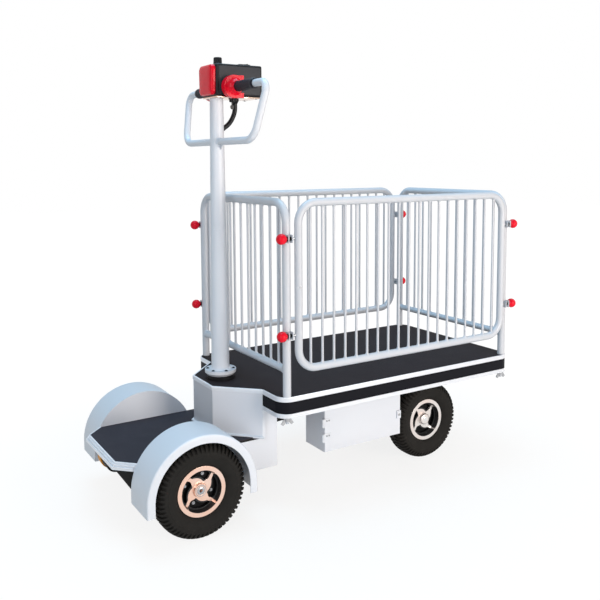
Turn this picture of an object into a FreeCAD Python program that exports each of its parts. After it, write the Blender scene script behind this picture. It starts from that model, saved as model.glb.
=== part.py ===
import FreeCAD, Part
import math
import os
from types import SimpleNamespace

import Sketcher
from FreeCAD import Rotation
from FreeCAD import Vector

# Electric platform cart, in mm. +X is forward, towards the cargo end, +Y is left and +Z is up.
# The origin is on the ground, at the middle of the outline. The driver stands at the -X end.

SIZES = {
    # cargo cage
    "cage_long": 899.0,
    "cage_wide": 567.0,
    "post_dia": 25.0,
    "stud_dia": 10.0,
    "cage_rise": 574.5,
    "bottom_rise": 80.0,
    "tube_bend": 60.0,
    "bar_dia": 8.0,
    "gate_tube": 24.0,
    "gate_out": 19.0,
    "gate_inset": 30.0,
    "low_bolt": 186.0,
    "high_bolt": 471.0,
    "bolt_dia": 8.0,
    "knob_dia": 32.0,
    "knob_out": 27.0,
    # cargo deck
    "tyre_room": 26.0,
    "deck_tall": 64.0,
    "deck_end": 17.5,
    "deck_side": 4.0,
    "deck_corner": 42.0,
    "edge_deep": 10.0,
    "band_down": 15.0,
    "band_tall": 36.0,
    "mat_thick": 3.0,
    "mat_inset": 3.5,
    "plate_thick": 3.0,
    "beam_wide": 40.0,
    "beam_at": 170.0,
    # steering neck and chassis box
    "neck_back": 144.5,
    "neck_half": 72.0,
    "neck_foot": 8.0,
    "box_half": 171.5,
    "box_drop": 31.0,
    "box_front": 30.0,
    "sheet": 3.0,
    # standing platform
    "platform_rise": 77.0,
    "platform_back": 472.0,
    "platform_corner": 122.0,
    "platform_plate": 6.0,
    "trim_out": 14.0,
    "trim_tall": 25.0,
    "gusset_drop": 62.0,
    "gusset_thick": 3.0,
    "gusset_in": 4.0,
    # wheels and axles
    "wheel_radius": 137.0,
    "tyre_wide": 80.0,
    "rim_radius": 73.0,
    "rim_wide": 54.0,
    "rim_flange": 2.0,
    "bead_deep": 8.0,
    "barrel_wall": 5.0,
    "web_down": 16.0,
    "web_thick": 8.0,
    "hub_dia": 42.0,
    "hub_out": 20.0,
    "rim_lip": 19.0,
    "window_wide": 24.0,
    "window_tail": 8.0,
    "drive_back": 277.0,
    "drive_track": 252.0,
    "steer_ahead": 643.0,
    "steer_track": 148.0,
    "kingpin_at": 80.0,
    "arm_long": 40.0,
    "tie_arm": 70.0,
    "link_rise": 53.0,
    "shaft_dia": 22.0,
    # drive axle, gear case and motor
    "axle_dia": 46.0,
    "axle_gap": 6.0,
    "case_back": 150.0,
    "case_ahead": 55.0,
    "case_side": 40.0,
    "case_wide": 55.0,
    "case_below": 30.0,
    "case_above": 56.0,
    "case_round": 24.0,
    "case_boss_dia": 116.0,
    "flange_half": 45.0,
    "flange_below": 28.0,
    "flange_plate": 6.0,
    "motor_back": 425.0,
    "motor_rise": 18.0,
    "motor_dia": 78.0,
    "motor_long": 100.0,
    "motor_round": 6.0,
    "bell_dia": 72.0,
    "bell_long": 54.0,
    "bell_round": 7.0,
    # front axle, knuckles and links
    "beam_bar": 40.0,
    "pillar_wide": 44.0,
    "saddle_long": 90.0,
    "saddle_thick": 6.0,
    "fork_gap": 52.0,
    "fork_plate": 8.0,
    "fork_wall": 15.0,
    "fork_throat": 25.0,
    "kingpin_dia": 14.0,
    "knuckle_dia": 30.0,
    "stub_dia": 18.0,
    "stub_past": 18.0,
    "arm_wide": 16.0,
    "arm_thick": 8.0,
    "arm_hub_dia": 26.0,
    "arm_eye_dia": 18.0,
    "link_dia": 12.0,
    "eye_dia": 20.0,
    "eye_tall": 12.0,
    "link_pin": 10.0,
    # fenders
    "fender_gap": 31.0,
    "fender_side": 6.0,
    "fender_leg": 33.0,
    "fender_sheet": 2.5,
    "lip_wide": 24.0,
    # battery boxes
    "battery_gap": 26.0,
    "battery_long": 308.0,
    "battery_in": 116.0,
    "battery_out": 226.0,
    "battery_tall": 165.0,
    "block_end": 18.0,
    "block_inner": 6.0,
    "block_outer": 12.0,
    "block_tall": 128.0,
    "hinge_low": 34.0,
    "hinge_high": 83.0,
    "hinge_dia": 10.0,
    "hinge_pin": 5.0,
    "hinge_knuckle": 12.0,
    "hinge_leaf": 14.0,
    "leaf_long": 24.0,
    "leaf_thick": 2.0,
    "hasp_rise": 56.0,
    "hasp_long": 16.0,
    "hasp_tall": 26.0,
    "hasp_thick": 5.0,
    # steering column and handle
    "column_back": 80.0,
    "column_rise": 31.0,
    "column_long": 860.0,
    "column_low_dia": 58.0,
    "column_high_dia": 42.0,
    "column_shaft": 28.0,
    "flange_dia": 100.0,
    "flange_thick": 10.0,
    "handle_rise": 31.0,
    "handle_drop": 135.0,
    "handle_ahead": 30.0,
    "handle_half": 275.0,
    "handle_low_half": 240.0,
    "handle_dia": 22.0,
    "handle_top_bend": 30.0,
    "handle_low_bend": 50.0,
    "grip_dia": 33.0,
    "grip_start": 84.0,
    "grip_end": 198.0,
    "head_long": 159.0,
    "head_wide": 106.0,
    "head_tall": 98.0,
    "head_back": 25.0,
}

RUNNING_FIT = 0.05  # radial gap of a pin or shaft in its bore
STUD_GAP = 0.25     # radial gap of the posts' studs in the deck
SEAT_GAP = 0.3      # gap between faces that turn or lie loosely on each other
DRIVE_RIM_TURN = 62.0   # where the first opening of each rim starts, in degrees
STEER_RIM_TURN = 60.0
PIN_STOP = 0.5      # the drawn upper bolts stop this far short of the gate
GATE_PIN_DEEP = 12.0
HUB_CORE = 12.0     # radius of the bore cast in each hub
HUB_DRAFT = 2.0
WEB_DRAFT = 4.0
RIM_SEAT = 0.03     # radial gap between the rim and the tyre's beads
SHAFT_IN = 60.0     # how far a half shaft reaches inwards of its rim
SHAFT_OUT = 8.0     # and outwards of the rim's middle, which leaves the hub's bore open
WING_THICK = 3.0
SEAT_INSET = 6.0    # how much narrower the column's bearing housing is than its flange
CUT_PAST = 10.0     # how far a cutting tool reaches past what it cuts
PIN_PAST = 2.0      # how far a kingpin shows below its fork

doc = FreeCAD.newDocument("PlatformCart")
sub_parts = []


# ---------------------------------------------------------------- sizes and expressions

def text_of(value):
    """The sheet expression of a size, or the plain number."""
    return value.text if isinstance(value, Size) else repr(float(value))


def number_of(value):
    """The value in mm of a size or of a plain number."""
    return value.number if isinstance(value, Size) else float(value)


class Size:
    """A length together with the sheet expression that it comes from."""

    def __init__(self, number, text):
        self.number = number
        self.text = text

    def joined(self, other, sign, number):
        return Size(number, "(%s %s %s)" % (self.text, sign, text_of(other)))

    def __add__(self, other):
        return self.joined(other, "+", self.number + number_of(other))

    def __sub__(self, other):
        return self.joined(other, "-", self.number - number_of(other))

    def __mul__(self, other):
        return self.joined(other, "*", self.number * number_of(other))

    def __truediv__(self, other):
        return self.joined(other, "/", self.number / number_of(other))

    def __neg__(self):
        return Size(-self.number, "(0 - %s)" % self.text)

    def __radd__(self, other):
        return Size(float(other), repr(float(other))) + self

    def __rsub__(self, other):
        return Size(float(other), repr(float(other))) - self

    def __rmul__(self, other):
        return self * other


def make_sheet():
    """The spreadsheet of driving sizes, and a namespace with one Size for each of its cells."""
    sheet = doc.addObject("Spreadsheet::Sheet", "Sizes")
    for row, (alias, value) in enumerate(SIZES.items(), start=1):
        sheet.set("A%d" % row, alias)
        sheet.set("B%d" % row, str(value))
        sheet.setAlias("B%d" % row, alias)
    doc.recompute()
    return SimpleNamespace(**{
        alias: Size(float(getattr(sheet, alias)), "Sizes." + alias) for alias in SIZES
    })


S = make_sheet()

# Heights, worked up from the axle line.
S.platform_top = S.wheel_radius + S.platform_rise
S.deck_bottom = S.wheel_radius * 2 + S.tyre_room
S.deck_top = S.deck_bottom + S.deck_tall
S.band_high = S.deck_top - S.band_down
S.band_low = S.band_high - S.band_tall
S.box_floor = S.wheel_radius - S.box_drop
S.link_level = S.wheel_radius + S.link_rise
S.battery_floor = S.deck_bottom - S.battery_tall
S.column_foot = S.deck_top + S.column_rise
S.column_top = S.column_foot + S.column_long
S.handle_level = S.column_top + S.handle_rise
S.handle_cross = S.column_top - S.handle_drop

# Sizes that follow what they go round.
S.deck_over = S.post_dia / 2 + S.deck_end
S.fender_radius = S.wheel_radius + S.fender_gap
S.fender_in = S.box_half
S.fender_out = S.drive_track + S.tyre_wide / 2 + S.fender_side

# Places along X, worked out from the outline's two ends.
KNOB_REACH = S.knob_out + S.knob_dia / 2
REAR_POST = -(S.cage_long + KNOB_REACH - S.platform_back - S.trim_out) / 2
FRONT_POST = REAR_POST + S.cage_long
COLUMN_X = REAR_POST - S.column_back
DRIVE_X = REAR_POST - S.drive_back
STEER_X = REAR_POST + S.steer_ahead
BATTERY_X = STEER_X - S.wheel_radius - S.battery_gap - S.battery_long
HANDLE_X = COLUMN_X + S.handle_ahead
POST_Y = S.cage_wide / 2
GATE_Y = POST_Y + S.gate_out
DECK_HALF = POST_Y + S.post_dia / 2 + S.deck_side
DECK_BACK = REAR_POST - S.deck_over
DECK_FRONT = FRONT_POST + S.deck_over
PLATE_TOP = S.deck_top - S.mat_thick
PLATE_LOW = PLATE_TOP - S.plate_thick
FRAME_INSET = S.edge_deep + SEAT_GAP
NECK_END = DECK_BACK + FRAME_INSET - SEAT_GAP
NECK_WIDE = S.neck_half + S.neck_back - S.deck_over
NECK_X = REAR_POST - S.neck_back
LOW_BOLT_Z = S.deck_top + S.low_bolt
HIGH_BOLT_Z = S.deck_top + S.high_bolt
RAIL_Z = S.deck_top + S.cage_rise
BOTTOM_Z = S.deck_top + S.bottom_rise


# ---------------------------------------------------------------- helpers for document objects

def bind(item, **properties):
    """Bind properties of an object to sizes."""
    for name, value in properties.items():
        item.setExpression(name, text_of(value))
    return item


def place(item, x=0.0, y=0.0, z=0.0, turn=None):
    """Give an object its placement, bound to the sheet."""
    if turn is not None:
        item.Placement = FreeCAD.Placement(Vector(), turn)
    for axis, value in zip("xyz", (x, y, z)):
        item.setExpression("Placement.Base." + axis, text_of(value))
    return item


def named(item, label):
    """Make an object a sub-part: its label names its file."""
    item.Label = label
    sub_parts.append(item)
    return item


def block(x, y, z):
    """A box between two x, two y and two z."""
    item = doc.addObject("Part::Box", "Block")
    bind(item, Length=x[1] - x[0], Width=y[1] - y[0], Height=z[1] - z[0])
    return place(item, x[0], y[0], z[0])


def span(low, high):
    """Two ends in rising order."""
    return (low, high) if number_of(low) < number_of(high) else (high, low)


def sided(side, near, far):
    """The y range between two distances from the middle, on one side."""
    return span(near * side, far * side)


TURNS = {
    "z": Rotation(),
    "x": Rotation(Vector(0, 1, 0), 90),
    "y": Rotation(Vector(1, 0, 0), -90),
}


def rod(radius, length, x, y, z, axis="z"):
    """A cylinder that starts at a point and runs along an axis."""
    item = doc.addObject("Part::Cylinder", "Rod")
    bind(item, Radius=radius, Height=length)
    return place(item, x, y, z, TURNS[axis])


def ball(radius, x, y, z, turn=None):
    item = doc.addObject("Part::Sphere", "Ball")
    bind(item, Radius=radius)
    return place(item, x, y, z, turn)


def fuse(items):
    item = doc.addObject("Part::MultiFuse", "Fusion")
    item.Shapes = list(items)
    return item


def cut(base, tools):
    """The base with every tool taken away."""
    tools = list(tools)
    item = doc.addObject("Part::Cut", "Difference")
    item.Base = base
    item.Tool = tools[0] if len(tools) == 1 else fuse(tools)
    return item


def group(items):
    """Separate solids in one object."""
    item = doc.addObject("Part::Compound", "Group")
    item.Links = list(items)
    return item


def rounded(base, radius, chosen):
    """The base with a fillet on every edge that a test chooses."""
    doc.recompute()
    size = number_of(radius)
    edges = [
        (number, size, size)
        for number, edge in enumerate(base.Shape.Edges, start=1) if chosen(edge)
    ]
    item = doc.addObject("Part::Fillet", "Rounding")
    item.Base = base
    item.Edges = edges
    return item


def upright(edge):
    """Whether an edge runs along Z."""
    box = edge.BoundBox
    return box.ZLength > 1.0 and box.XLength < 0.01 and box.YLength < 0.01


def solid_feature(shape):
    """A plain feature that holds a finished shape."""
    item = doc.addObject("Part::Feature", "Solid")
    item.Shape = shape
    item.Placement = FreeCAD.Placement()
    return item


def make_body(name, features):
    """A PartDesign body; the callback adds its sketches and features and returns the tip."""
    body = doc.addObject("PartDesign::Body", name)
    body.Tip = features(body)
    doc.recompute()
    return body


def plane_of(body, role):
    return next(item for item in body.Origin.OriginFeatures if item.Role == role)


def outline_sketch(body, role, corners):
    """A closed sketch of straight edges whose corners are bound to the sheet."""
    sketch = body.newObject("Sketcher::SketchObject", "Outline")
    sketch.AttachmentSupport = [(plane_of(body, role), "")]
    sketch.MapMode = "FlatFace"
    points = [Vector(number_of(u), number_of(v), 0) for u, v in corners]
    count = len(points)
    for index in range(count):
        sketch.addGeometry(Part.LineSegment(points[index], points[(index + 1) % count]), False)
    for index in range(count):
        sketch.addConstraint(Sketcher.Constraint("Coincident", index, 2, (index + 1) % count, 1))
    for index, corner in enumerate(corners):
        for kind, value in zip(("DistanceX", "DistanceY"), corner):
            number = sketch.addConstraint(
                Sketcher.Constraint(kind, -1, 1, index, 1, number_of(value)))
            sketch.setExpression("Constraints[%d]" % number, text_of(value))
    return sketch


def pad(body, sketch, length):
    item = body.newObject("PartDesign::Pad", "Pad")
    item.Profile = sketch
    bind(item, Length=length)
    return item


def revolve(body, sketch):
    """A full turn of a sketch on the XZ plane about the body's Z axis."""
    item = body.newObject("PartDesign::Revolution", "Revolution")
    item.Profile = sketch
    item.ReferenceAxis = (sketch, ["V_Axis"])
    item.Angle = 360.0
    return item


def turned_body(name, profile, x, y, z, turn=None):
    """A body turned from a (radius, height) profile."""
    body = make_body(name, lambda b: revolve(b, outline_sketch(b, "XZ_Plane", profile)))
    return place(body, x, y, z, turn)


def plate_body(name, corners, bottom, thickness):
    """A body padded up from an outline at a height."""
    body = make_body(name, lambda b: pad(b, outline_sketch(b, "XY_Plane", corners), thickness))
    return place(body, 0.0, 0.0, bottom)


def rounded_path(points, bends):
    """Straight runs through the points, joined by an arc of its own radius at each corner."""
    edges = []
    start = points[0]
    for before, corner, after, bend in zip(points, points[1:], points[2:], bends):
        back = (before - corner).normalize()
        ahead = (after - corner).normalize()
        half = back.getAngle(ahead) / 2
        first = corner + back * (bend / math.tan(half))
        last = corner + ahead * (bend / math.tan(half))
        middle = corner + (back + ahead).normalize() * (bend / math.sin(half) - bend)
        edges.append(Part.LineSegment(start, first).toShape())
        edges.append(Part.Arc(first, middle, last).toShape())
        start = last
    edges.append(Part.LineSegment(start, points[-1]).toShape())
    return Part.Wire(edges)


def bent_tube(points, bends, radius):
    """A round bar along a path of straight runs and arcs."""
    ring = Part.Wire(Part.makeCircle(radius, points[0], points[1] - points[0]))
    return rounded_path(points, bends).makePipeShell([ring], True, True)


def merged(shapes):
    """One shape out of many that overlap."""
    return shapes[0].multiFuse(shapes[1:]).removeSplitter()


# ---------------------------------------------------------------- cargo deck and neck

def neck_corners(grow, front=NECK_END):
    """The neck's outline in plan, grown outwards: a flat rear face and two faces at 45 degrees."""
    corner = S.neck_half + grow * math.tan(math.radians(22.5))
    wide = NECK_WIDE + grow * math.sqrt(2.0)
    rear = NECK_X - grow
    into_deck = [(front, -wide), (front, wide)] if front is not DECK_BACK else []
    return [(rear, -corner), (DECK_BACK, -wide)] + into_deck + [(DECK_BACK, wide), (rear, corner)]


def rounded_slab(inset, corner, z):
    """The deck's rounded rectangle, drawn in by an inset, between two heights."""
    slab = block(
        (DECK_BACK + inset, DECK_FRONT - inset),
        (-DECK_HALF + inset, DECK_HALF - inset), z)
    return rounded(slab, corner, upright)


def neck_prism(name, grow, z, front=NECK_END):
    return plate_body(name, neck_corners(grow, front), z[0], z[1] - z[0])


def deck_edge_profile():
    """The aluminium edge of the deck, a channel with two lips, and the strip round the neck's top."""
    corner = S.deck_corner
    outer = rounded_slab(0.0, corner, (S.deck_bottom, S.deck_top))
    inner = rounded_slab(S.edge_deep, corner - S.edge_deep, (S.deck_bottom - 1, PLATE_TOP))
    rebate = rounded_slab(S.mat_inset, corner - S.mat_inset, (PLATE_TOP, S.deck_top + 1))
    groove = cut(
        rounded_slab(-1.0, corner, (S.band_low, S.band_high)),
        [rounded_slab(S.edge_deep / 2, corner - S.edge_deep / 2, (S.band_low - 1, S.band_high + 1))])
    gap = neck_prism("NeckGap", 0.0, (S.deck_bottom - 1, S.deck_top + 1))
    ring = cut(outer, [inner, rebate, groove, gap] + post_holes() + stud_holes())
    strip_low = S.band_high + 2
    strip = cut(
        neck_prism("StripOuter", 2.0, (strip_low, S.deck_top), DECK_BACK),
        [neck_prism("StripInner", 0.0, (strip_low - 1, PLATE_TOP)),
         neck_prism("StripMat", -S.mat_inset, (PLATE_TOP, S.deck_top + 1))])
    return named(fuse([ring, strip]), "deck_edge_profile")


def deck_band():
    """The rubber strip in the edge channel, open where the neck meets the deck."""
    z = (S.band_low + 0.1, S.band_high - 0.1)
    outer = rounded_slab(0.8, S.deck_corner - 0.8, z)
    inner = rounded_slab(
        S.edge_deep / 2 - 0.1, S.deck_corner - S.edge_deep / 2, (S.band_low, S.band_high))
    gap = neck_prism("BandGap", 2.5, z, NECK_END + 5)
    return named(cut(outer, [inner, gap]), "deck_band")


def post_places():
    """The four posts, as (x, y)."""
    return [(x, POST_Y * side) for x in (REAR_POST, FRONT_POST) for side in (-1, 1)]


def post_holes():
    """The posts' clearance holes in what lies on the deck plate."""
    return [rod(S.post_dia / 2 + RUNNING_FIT, 10.0, x, y, PLATE_TOP) for x, y in post_places()]


def stud_holes():
    """The holes for the studs under the posts."""
    radius = S.stud_dia / 2 + STUD_GAP
    return [rod(radius, S.deck_tall + 10, x, y, S.deck_bottom - 5) for x, y in post_places()]


def deck_mat():
    """The ribbed rubber mat over the deck and the neck, cut out for the posts and the column seat."""
    z = (PLATE_TOP, S.deck_top)
    inset = S.mat_inset + SEAT_GAP
    slab = rounded_slab(inset, S.deck_corner - inset, z)
    neck = neck_prism("NeckMat", -inset, z, REAR_POST + 10)
    seat = rod(S.flange_dia / 2 - 6 + RUNNING_FIT, 10.0, COLUMN_X, 0.0, PLATE_TOP - 2)
    return named(cut(fuse([slab, neck]), post_holes() + [seat]), "deck_mat")


def deck_frame():
    """The deck's steel plate on a ladder of box beams; the posts' studs pass the end beams."""
    plate = rounded_slab(FRAME_INSET, S.deck_corner - FRAME_INSET, (PLATE_LOW, PLATE_TOP))
    z = (S.deck_bottom, PLATE_LOW)
    half = S.beam_wide / 2
    inside = DECK_HALF - FRAME_INSET
    beams = [plate]
    for side in (-1, 1):
        centre = S.beam_at * side
        beams.append(block(
            (REAR_POST - half, FRONT_POST + half), (centre - half, centre + half), z))
    for step in range(5):
        centre = REAR_POST + S.cage_long * (step / 4.0)
        reach = inside if step in (0, 4) else S.beam_at
        beams.append(block((centre - half, centre + half), (-reach, reach), z))
    ladder = rounded_corner_beams(fuse(beams))
    return named(cut(ladder, stud_holes()), "deck_frame")


def rounded_corner_beams(ladder):
    """The ladder kept inside the edge profile's rounded corners."""
    hull = rounded_slab(FRAME_INSET, S.deck_corner - FRAME_INSET, (S.deck_bottom, PLATE_TOP))
    item = doc.addObject("Part::MultiCommon", "Inside")
    item.Shapes = [ladder, hull]
    return item


def neck_box():
    """The folded steel neck that carries the column, with a foot flange on the platform."""
    floor = S.platform_top - S.mat_thick
    shell = cut(
        neck_prism("NeckOuter", 0.0, (floor, PLATE_TOP)),
        [neck_prism("NeckInner", -S.sheet, (floor - 1, PLATE_LOW), NECK_END + 1),
         rod(S.column_shaft / 2 + 2, 20.0, COLUMN_X, 0.0, PLATE_LOW - 5)])
    foot = cut(
        neck_prism("FootOuter", S.neck_foot, (floor, S.platform_top + S.sheet), DECK_BACK),
        [neck_prism("FootInner", -S.sheet, (floor - 1, S.platform_top + 10))])
    return named(fuse([shell, foot]), "neck_box")


# ---------------------------------------------------------------- chassis box and platform

def chassis_box():
    """The lower box of steel sheet: two side plates, a front plate and the column's lower shelf."""
    front = REAR_POST + S.box_front
    back = REAR_POST - S.platform_back + S.box_half - S.platform_corner + SEAT_GAP
    low_top = S.platform_top - S.mat_thick - S.platform_plate
    inner = S.box_half - S.sheet
    sides = []
    for side in (-1, 1):
        y = sided(side, inner, S.box_half)
        sides.append(block((back, front), y, (S.box_floor, low_top)))
        sides.append(block((REAR_POST - S.deck_over, front), y, (low_top, S.deck_bottom)))
    face = block((front - S.sheet, front), (-inner, inner), (S.box_floor, S.deck_bottom))
    shelf = block(
        (COLUMN_X - 60, front - S.sheet), (-inner, inner), (low_top - 4, low_top))
    link_slot = block(
        (front - 10, front + 10), (-60.0, 0.0), (S.link_level - 13, S.link_level + 13))
    axle_holes = rod(24.0, S.box_half * 3, DRIVE_X, -S.box_half * 1.5, S.wheel_radius, "y")
    shelf_hole = rod(14.0 + RUNNING_FIT, 40.0, COLUMN_X, 0.0, low_top - 20)
    return named(
        cut(fuse(sides + [face, shelf]), [link_slot, axle_holes, shelf_hole]), "chassis_box")


def platform_corners(grow):
    """The standing platform's outline, grown outwards at its rear edge and its two chamfers."""
    back = REAR_POST - S.platform_back
    side = S.box_half
    corner = S.platform_corner + grow * math.tan(math.radians(22.5))
    chamfer_end = back + (S.box_half - S.platform_corner) - grow * math.sqrt(2.0)
    front = REAR_POST - S.deck_over
    return [
        (back - grow, -corner), (chamfer_end, -side), (front, -side),
        (front, side), (chamfer_end, side), (back - grow, corner),
    ]


def platform_slab(name, grow, z):
    return plate_body(name, platform_corners(grow), z[0], z[1] - z[0])


def platform_plate():
    """The platform's steel plate, on the chassis box and cut out round the steering shaft."""
    top = S.platform_top - S.mat_thick
    plate = platform_slab("PlatformSheet", 0.0, (top - S.platform_plate, top))
    hole = rod(20.0, 40.0, COLUMN_X, 0.0, top - 20)
    return named(cut(plate, [hole]), "platform_plate")


def platform_mat():
    """The rubber mat that the driver stands on; it ends at the neck's foot."""
    mat = platform_slab("PlatformRubber", 0.0, (S.platform_top - S.mat_thick, S.platform_top))
    foot = neck_prism(
        "FootGap", S.neck_foot + SEAT_GAP, (S.platform_top - S.mat_thick - 1, S.platform_top + 1))
    return named(cut(mat, [foot]), "platform_mat")


def platform_trim():
    """The stepped aluminium edge round the platform's rear."""
    top = S.platform_top
    levels = [(0.0, 6.0, 5.0), (6.0, 13.0, 9.0), (13.0, S.trim_tall, S.trim_out)]
    steps = []
    for number, (upper, lower, out) in enumerate(levels):
        steps.append(platform_slab("TrimStep%d" % number, out, (top - lower, top - upper)))
    hollow = platform_slab("TrimHollow", 0.0, (top - S.trim_tall - 1, top + 1))
    return named(cut(fuse(steps), [hollow]), "platform_trim")


def rear_gussets():
    """Two dark triangular plates that drop from the platform's chamfers to the fenders."""
    back = number_of(REAR_POST - S.platform_back)
    corner = number_of(S.platform_corner)
    side = number_of(S.box_half)
    run = side - corner
    top = number_of(S.platform_top - S.mat_thick - S.platform_plate)
    drop = number_of(S.gusset_drop)
    thick = number_of(S.gusset_thick)
    inset = number_of(S.gusset_in)
    plates = []
    for way in (-1, 1):
        first = Vector(back + inset, way * (corner - inset / 2), top)
        second = Vector(back + run, way * (side - inset), top)
        third = second - Vector(0, 0, drop)
        face = Part.Face(Part.makePolygon([first, second, third, first]))
        plates.append(solid_feature(face.extrude(Vector(thick, 0, 0))))
    return named(group(plates), "rear_gussets")


# ---------------------------------------------------------------- fenders

def arch(radius, y, leg):
    """A half disc over the drive wheel with straight legs, between two y."""
    x = (DRIVE_X - radius, DRIVE_X + radius)
    disc = rod(radius, y[1] - y[0], DRIVE_X, y[0], S.wheel_radius, "y")
    upper = doc.addObject("Part::MultiCommon", "HalfDisc")
    upper.Shapes = [disc, block(x, y, (S.wheel_radius, S.wheel_radius + radius))]
    return fuse([upper, block(x, y, (S.wheel_radius - leg, S.wheel_radius))])


def fender(side, label):
    """A fender: a bent band, a closed inner plate and an outer lip, open underneath."""
    skin = S.fender_sheet
    well = sided(side, S.fender_in + skin, S.fender_out + 1)
    mouth = sided(side, S.fender_in + skin, S.fender_out - skin)
    radius = S.fender_radius
    leg = S.fender_leg
    outer = arch(radius, sided(side, S.fender_in, S.fender_out), leg)
    hollow = arch(radius - skin, mouth, leg + 1)
    opening = arch(radius - S.lip_wide, well, leg + 1)
    axle = rod(24.0, 40.0, DRIVE_X, S.fender_in * side - 20, S.wheel_radius, "y")
    slot = block(
        (DRIVE_X - 24, DRIVE_X + 24), span(S.fender_in * side - 20, S.fender_in * side + 20),
        (S.wheel_radius - leg - 5, S.wheel_radius))
    return named(cut(outer, [hollow, opening, axle, slot]), label)


# ---------------------------------------------------------------- axles, motor and wheels

def drive_axle():
    """The rear axle: two tubes with flanges on the side plates, and the gear case between them."""
    reach = S.drive_track - S.rim_wide / 2 - S.axle_gap
    middle = S.wheel_radius
    tube = rod(S.axle_dia / 2, reach * 2, DRIVE_X, -reach, middle, "y")
    case = block(
        (DRIVE_X - S.case_back, DRIVE_X + S.case_ahead), (-S.case_side - S.case_wide, -S.case_side),
        (middle - S.case_below, middle + S.case_above))
    lump = rounded(case, S.case_round, along_y)
    boss = ball(S.case_boss_dia / 2, DRIVE_X, -S.case_side - S.case_wide / 2, middle)
    plates = []
    for side in (-1, 1):
        y = sided(side, S.box_half - S.sheet - S.flange_plate, S.box_half - S.sheet)
        plates.append(block(
            (DRIVE_X - S.flange_half, DRIVE_X + S.flange_half), y,
            (middle - S.flange_below, middle + S.flange_half)))
    bore = rod(S.shaft_dia / 2 + RUNNING_FIT, reach * 2 + 2, DRIVE_X, -reach - 1, middle, "y")
    return named(cut(fuse([tube, lump, boss] + plates), [bore]), "drive_axle")


def along_y(edge):
    """Whether an edge runs along Y."""
    box = edge.BoundBox
    return box.YLength > 1.0 and box.XLength < 0.01 and box.ZLength < 0.01


MOTOR_X = REAR_POST - S.motor_back
MOTOR_Z = S.wheel_radius + S.motor_rise


def across_y(edge):
    """Whether an edge lies in one plane across Y."""
    return edge.BoundBox.YLength < 0.01


def drive_motor():
    """The motor's cylinder, on the gear case's left face."""
    barrel = rod(S.motor_dia / 2, S.motor_long, MOTOR_X, -S.case_side, MOTOR_Z, "y")
    return named(rounded(barrel, S.motor_round, across_y), "drive_motor")


def motor_end_bell():
    """The plated end bell of the motor, rounded at its outer end."""
    start = S.motor_long - S.case_side
    end = number_of(start + S.bell_long)
    rim = rod(S.bell_dia / 2, S.bell_long, MOTOR_X, start, MOTOR_Z, "y")
    bell = rounded(
        rim, S.bell_round, lambda edge: across_y(edge) and edge.CenterOfMass.y > end - 1)
    return named(bell, "motor_end_bell")


def tyre_profile():
    """Half the tyre's section as (radius, height across), with a rounded tread and beads."""
    half = S.tyre_wide / 2
    outer = S.wheel_radius
    bead = S.rim_radius - S.bead_deep
    seat = S.rim_wide / 2 - S.rim_flange - SEAT_GAP
    return [
        (bead, -seat), (S.rim_radius + 1, -seat), (S.rim_radius + 7, -half + 9), (outer - 42, -half),
        (outer - 24, -half), (outer - 7, -half + 9), (outer, -half + 24),
        (outer, half - 24), (outer - 7, half - 9), (outer - 24, half),
        (outer - 42, half), (S.rim_radius + 7, half - 9), (S.rim_radius + 1, seat), (bead, seat),
    ]


def tyre(label, x, y):
    """A pneumatic tyre, turned about its axle."""
    return named(turned_body("Tyre", tyre_profile(), x, y, S.wheel_radius, TURNS["y"]), label)


def rim_profile(side):
    """The rim's section: barrel, flanges, a dished web near its outer face and the hub."""
    half = S.rim_wide / 2
    flange = half - S.rim_flange
    bead = S.rim_radius - S.bead_deep
    seat = bead - RIM_SEAT
    barrel = bead - S.barrel_wall
    web = half - S.web_down
    hub = S.hub_dia / 2
    return [
        (HUB_CORE, (web - S.web_thick) * side), (barrel, (web - S.web_thick) * side),
        (barrel, -half * side), (S.rim_radius, -half * side), (S.rim_radius, -flange * side),
        (seat, -flange * side), (seat, flange * side), (S.rim_radius, flange * side),
        (S.rim_radius, half * side), (barrel, half * side), (barrel - WEB_DRAFT, web * side),
        (hub, web * side), (hub - HUB_DRAFT, S.hub_out * side), (HUB_CORE, S.hub_out * side),
    ]


def on_web(x, side, radius, degrees):
    """A point on the rim's web, by its radius and its angle as seen from outside the wheel."""
    angle = math.radians(degrees)
    return Vector(
        number_of(x) - side * radius * math.cos(angle), 0,
        number_of(S.wheel_radius) + radius * math.sin(angle))


def rim_window(x, y, side, turn):
    """One opening of the web: wide and round at one end, and drawn out along the barrel to a tail."""
    outer = number_of(S.rim_radius - S.rim_lip)
    wide = number_of(S.window_wide)
    tail = number_of(S.window_tail)
    start, end = turn, turn + 60.0
    spread = math.degrees(math.asin(wide / 2 / (outer - wide / 2)))

    def at(radius, degrees):
        return on_web(x, side, radius, degrees)

    edges = [
        Part.Arc(at(outer, start), at(outer, (start + end) / 2), at(outer, end)),
        Part.Arc(at(outer, end), at(outer - tail / 2, end + 4), at(outer - tail, end)),
        Part.Arc(
            at(outer - tail, end), at(outer - 0.68 * wide, (start + end) / 2),
            at(outer - wide, start)),
        Part.Arc(at(outer - wide, start), at(outer - wide / 2, start - spread), at(outer, start)),
    ]
    face = Part.Face(Part.Wire([edge.toShape() for edge in edges]))
    reach = number_of(S.rim_wide)
    face.translate(Vector(0, number_of(y) - reach, 0))
    return solid_feature(face.extrude(Vector(0, 2 * reach, 0)))


def rim(side, x, y, turn):
    """A cast rim whose web has four curved openings, which leave four swept arms."""
    body = turned_body("Rim", rim_profile(side), x, y, S.wheel_radius, TURNS["y"])
    windows = [rim_window(x, y, side, turn + 90.0 * step) for step in range(4)]
    return cut(body, windows)


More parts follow.
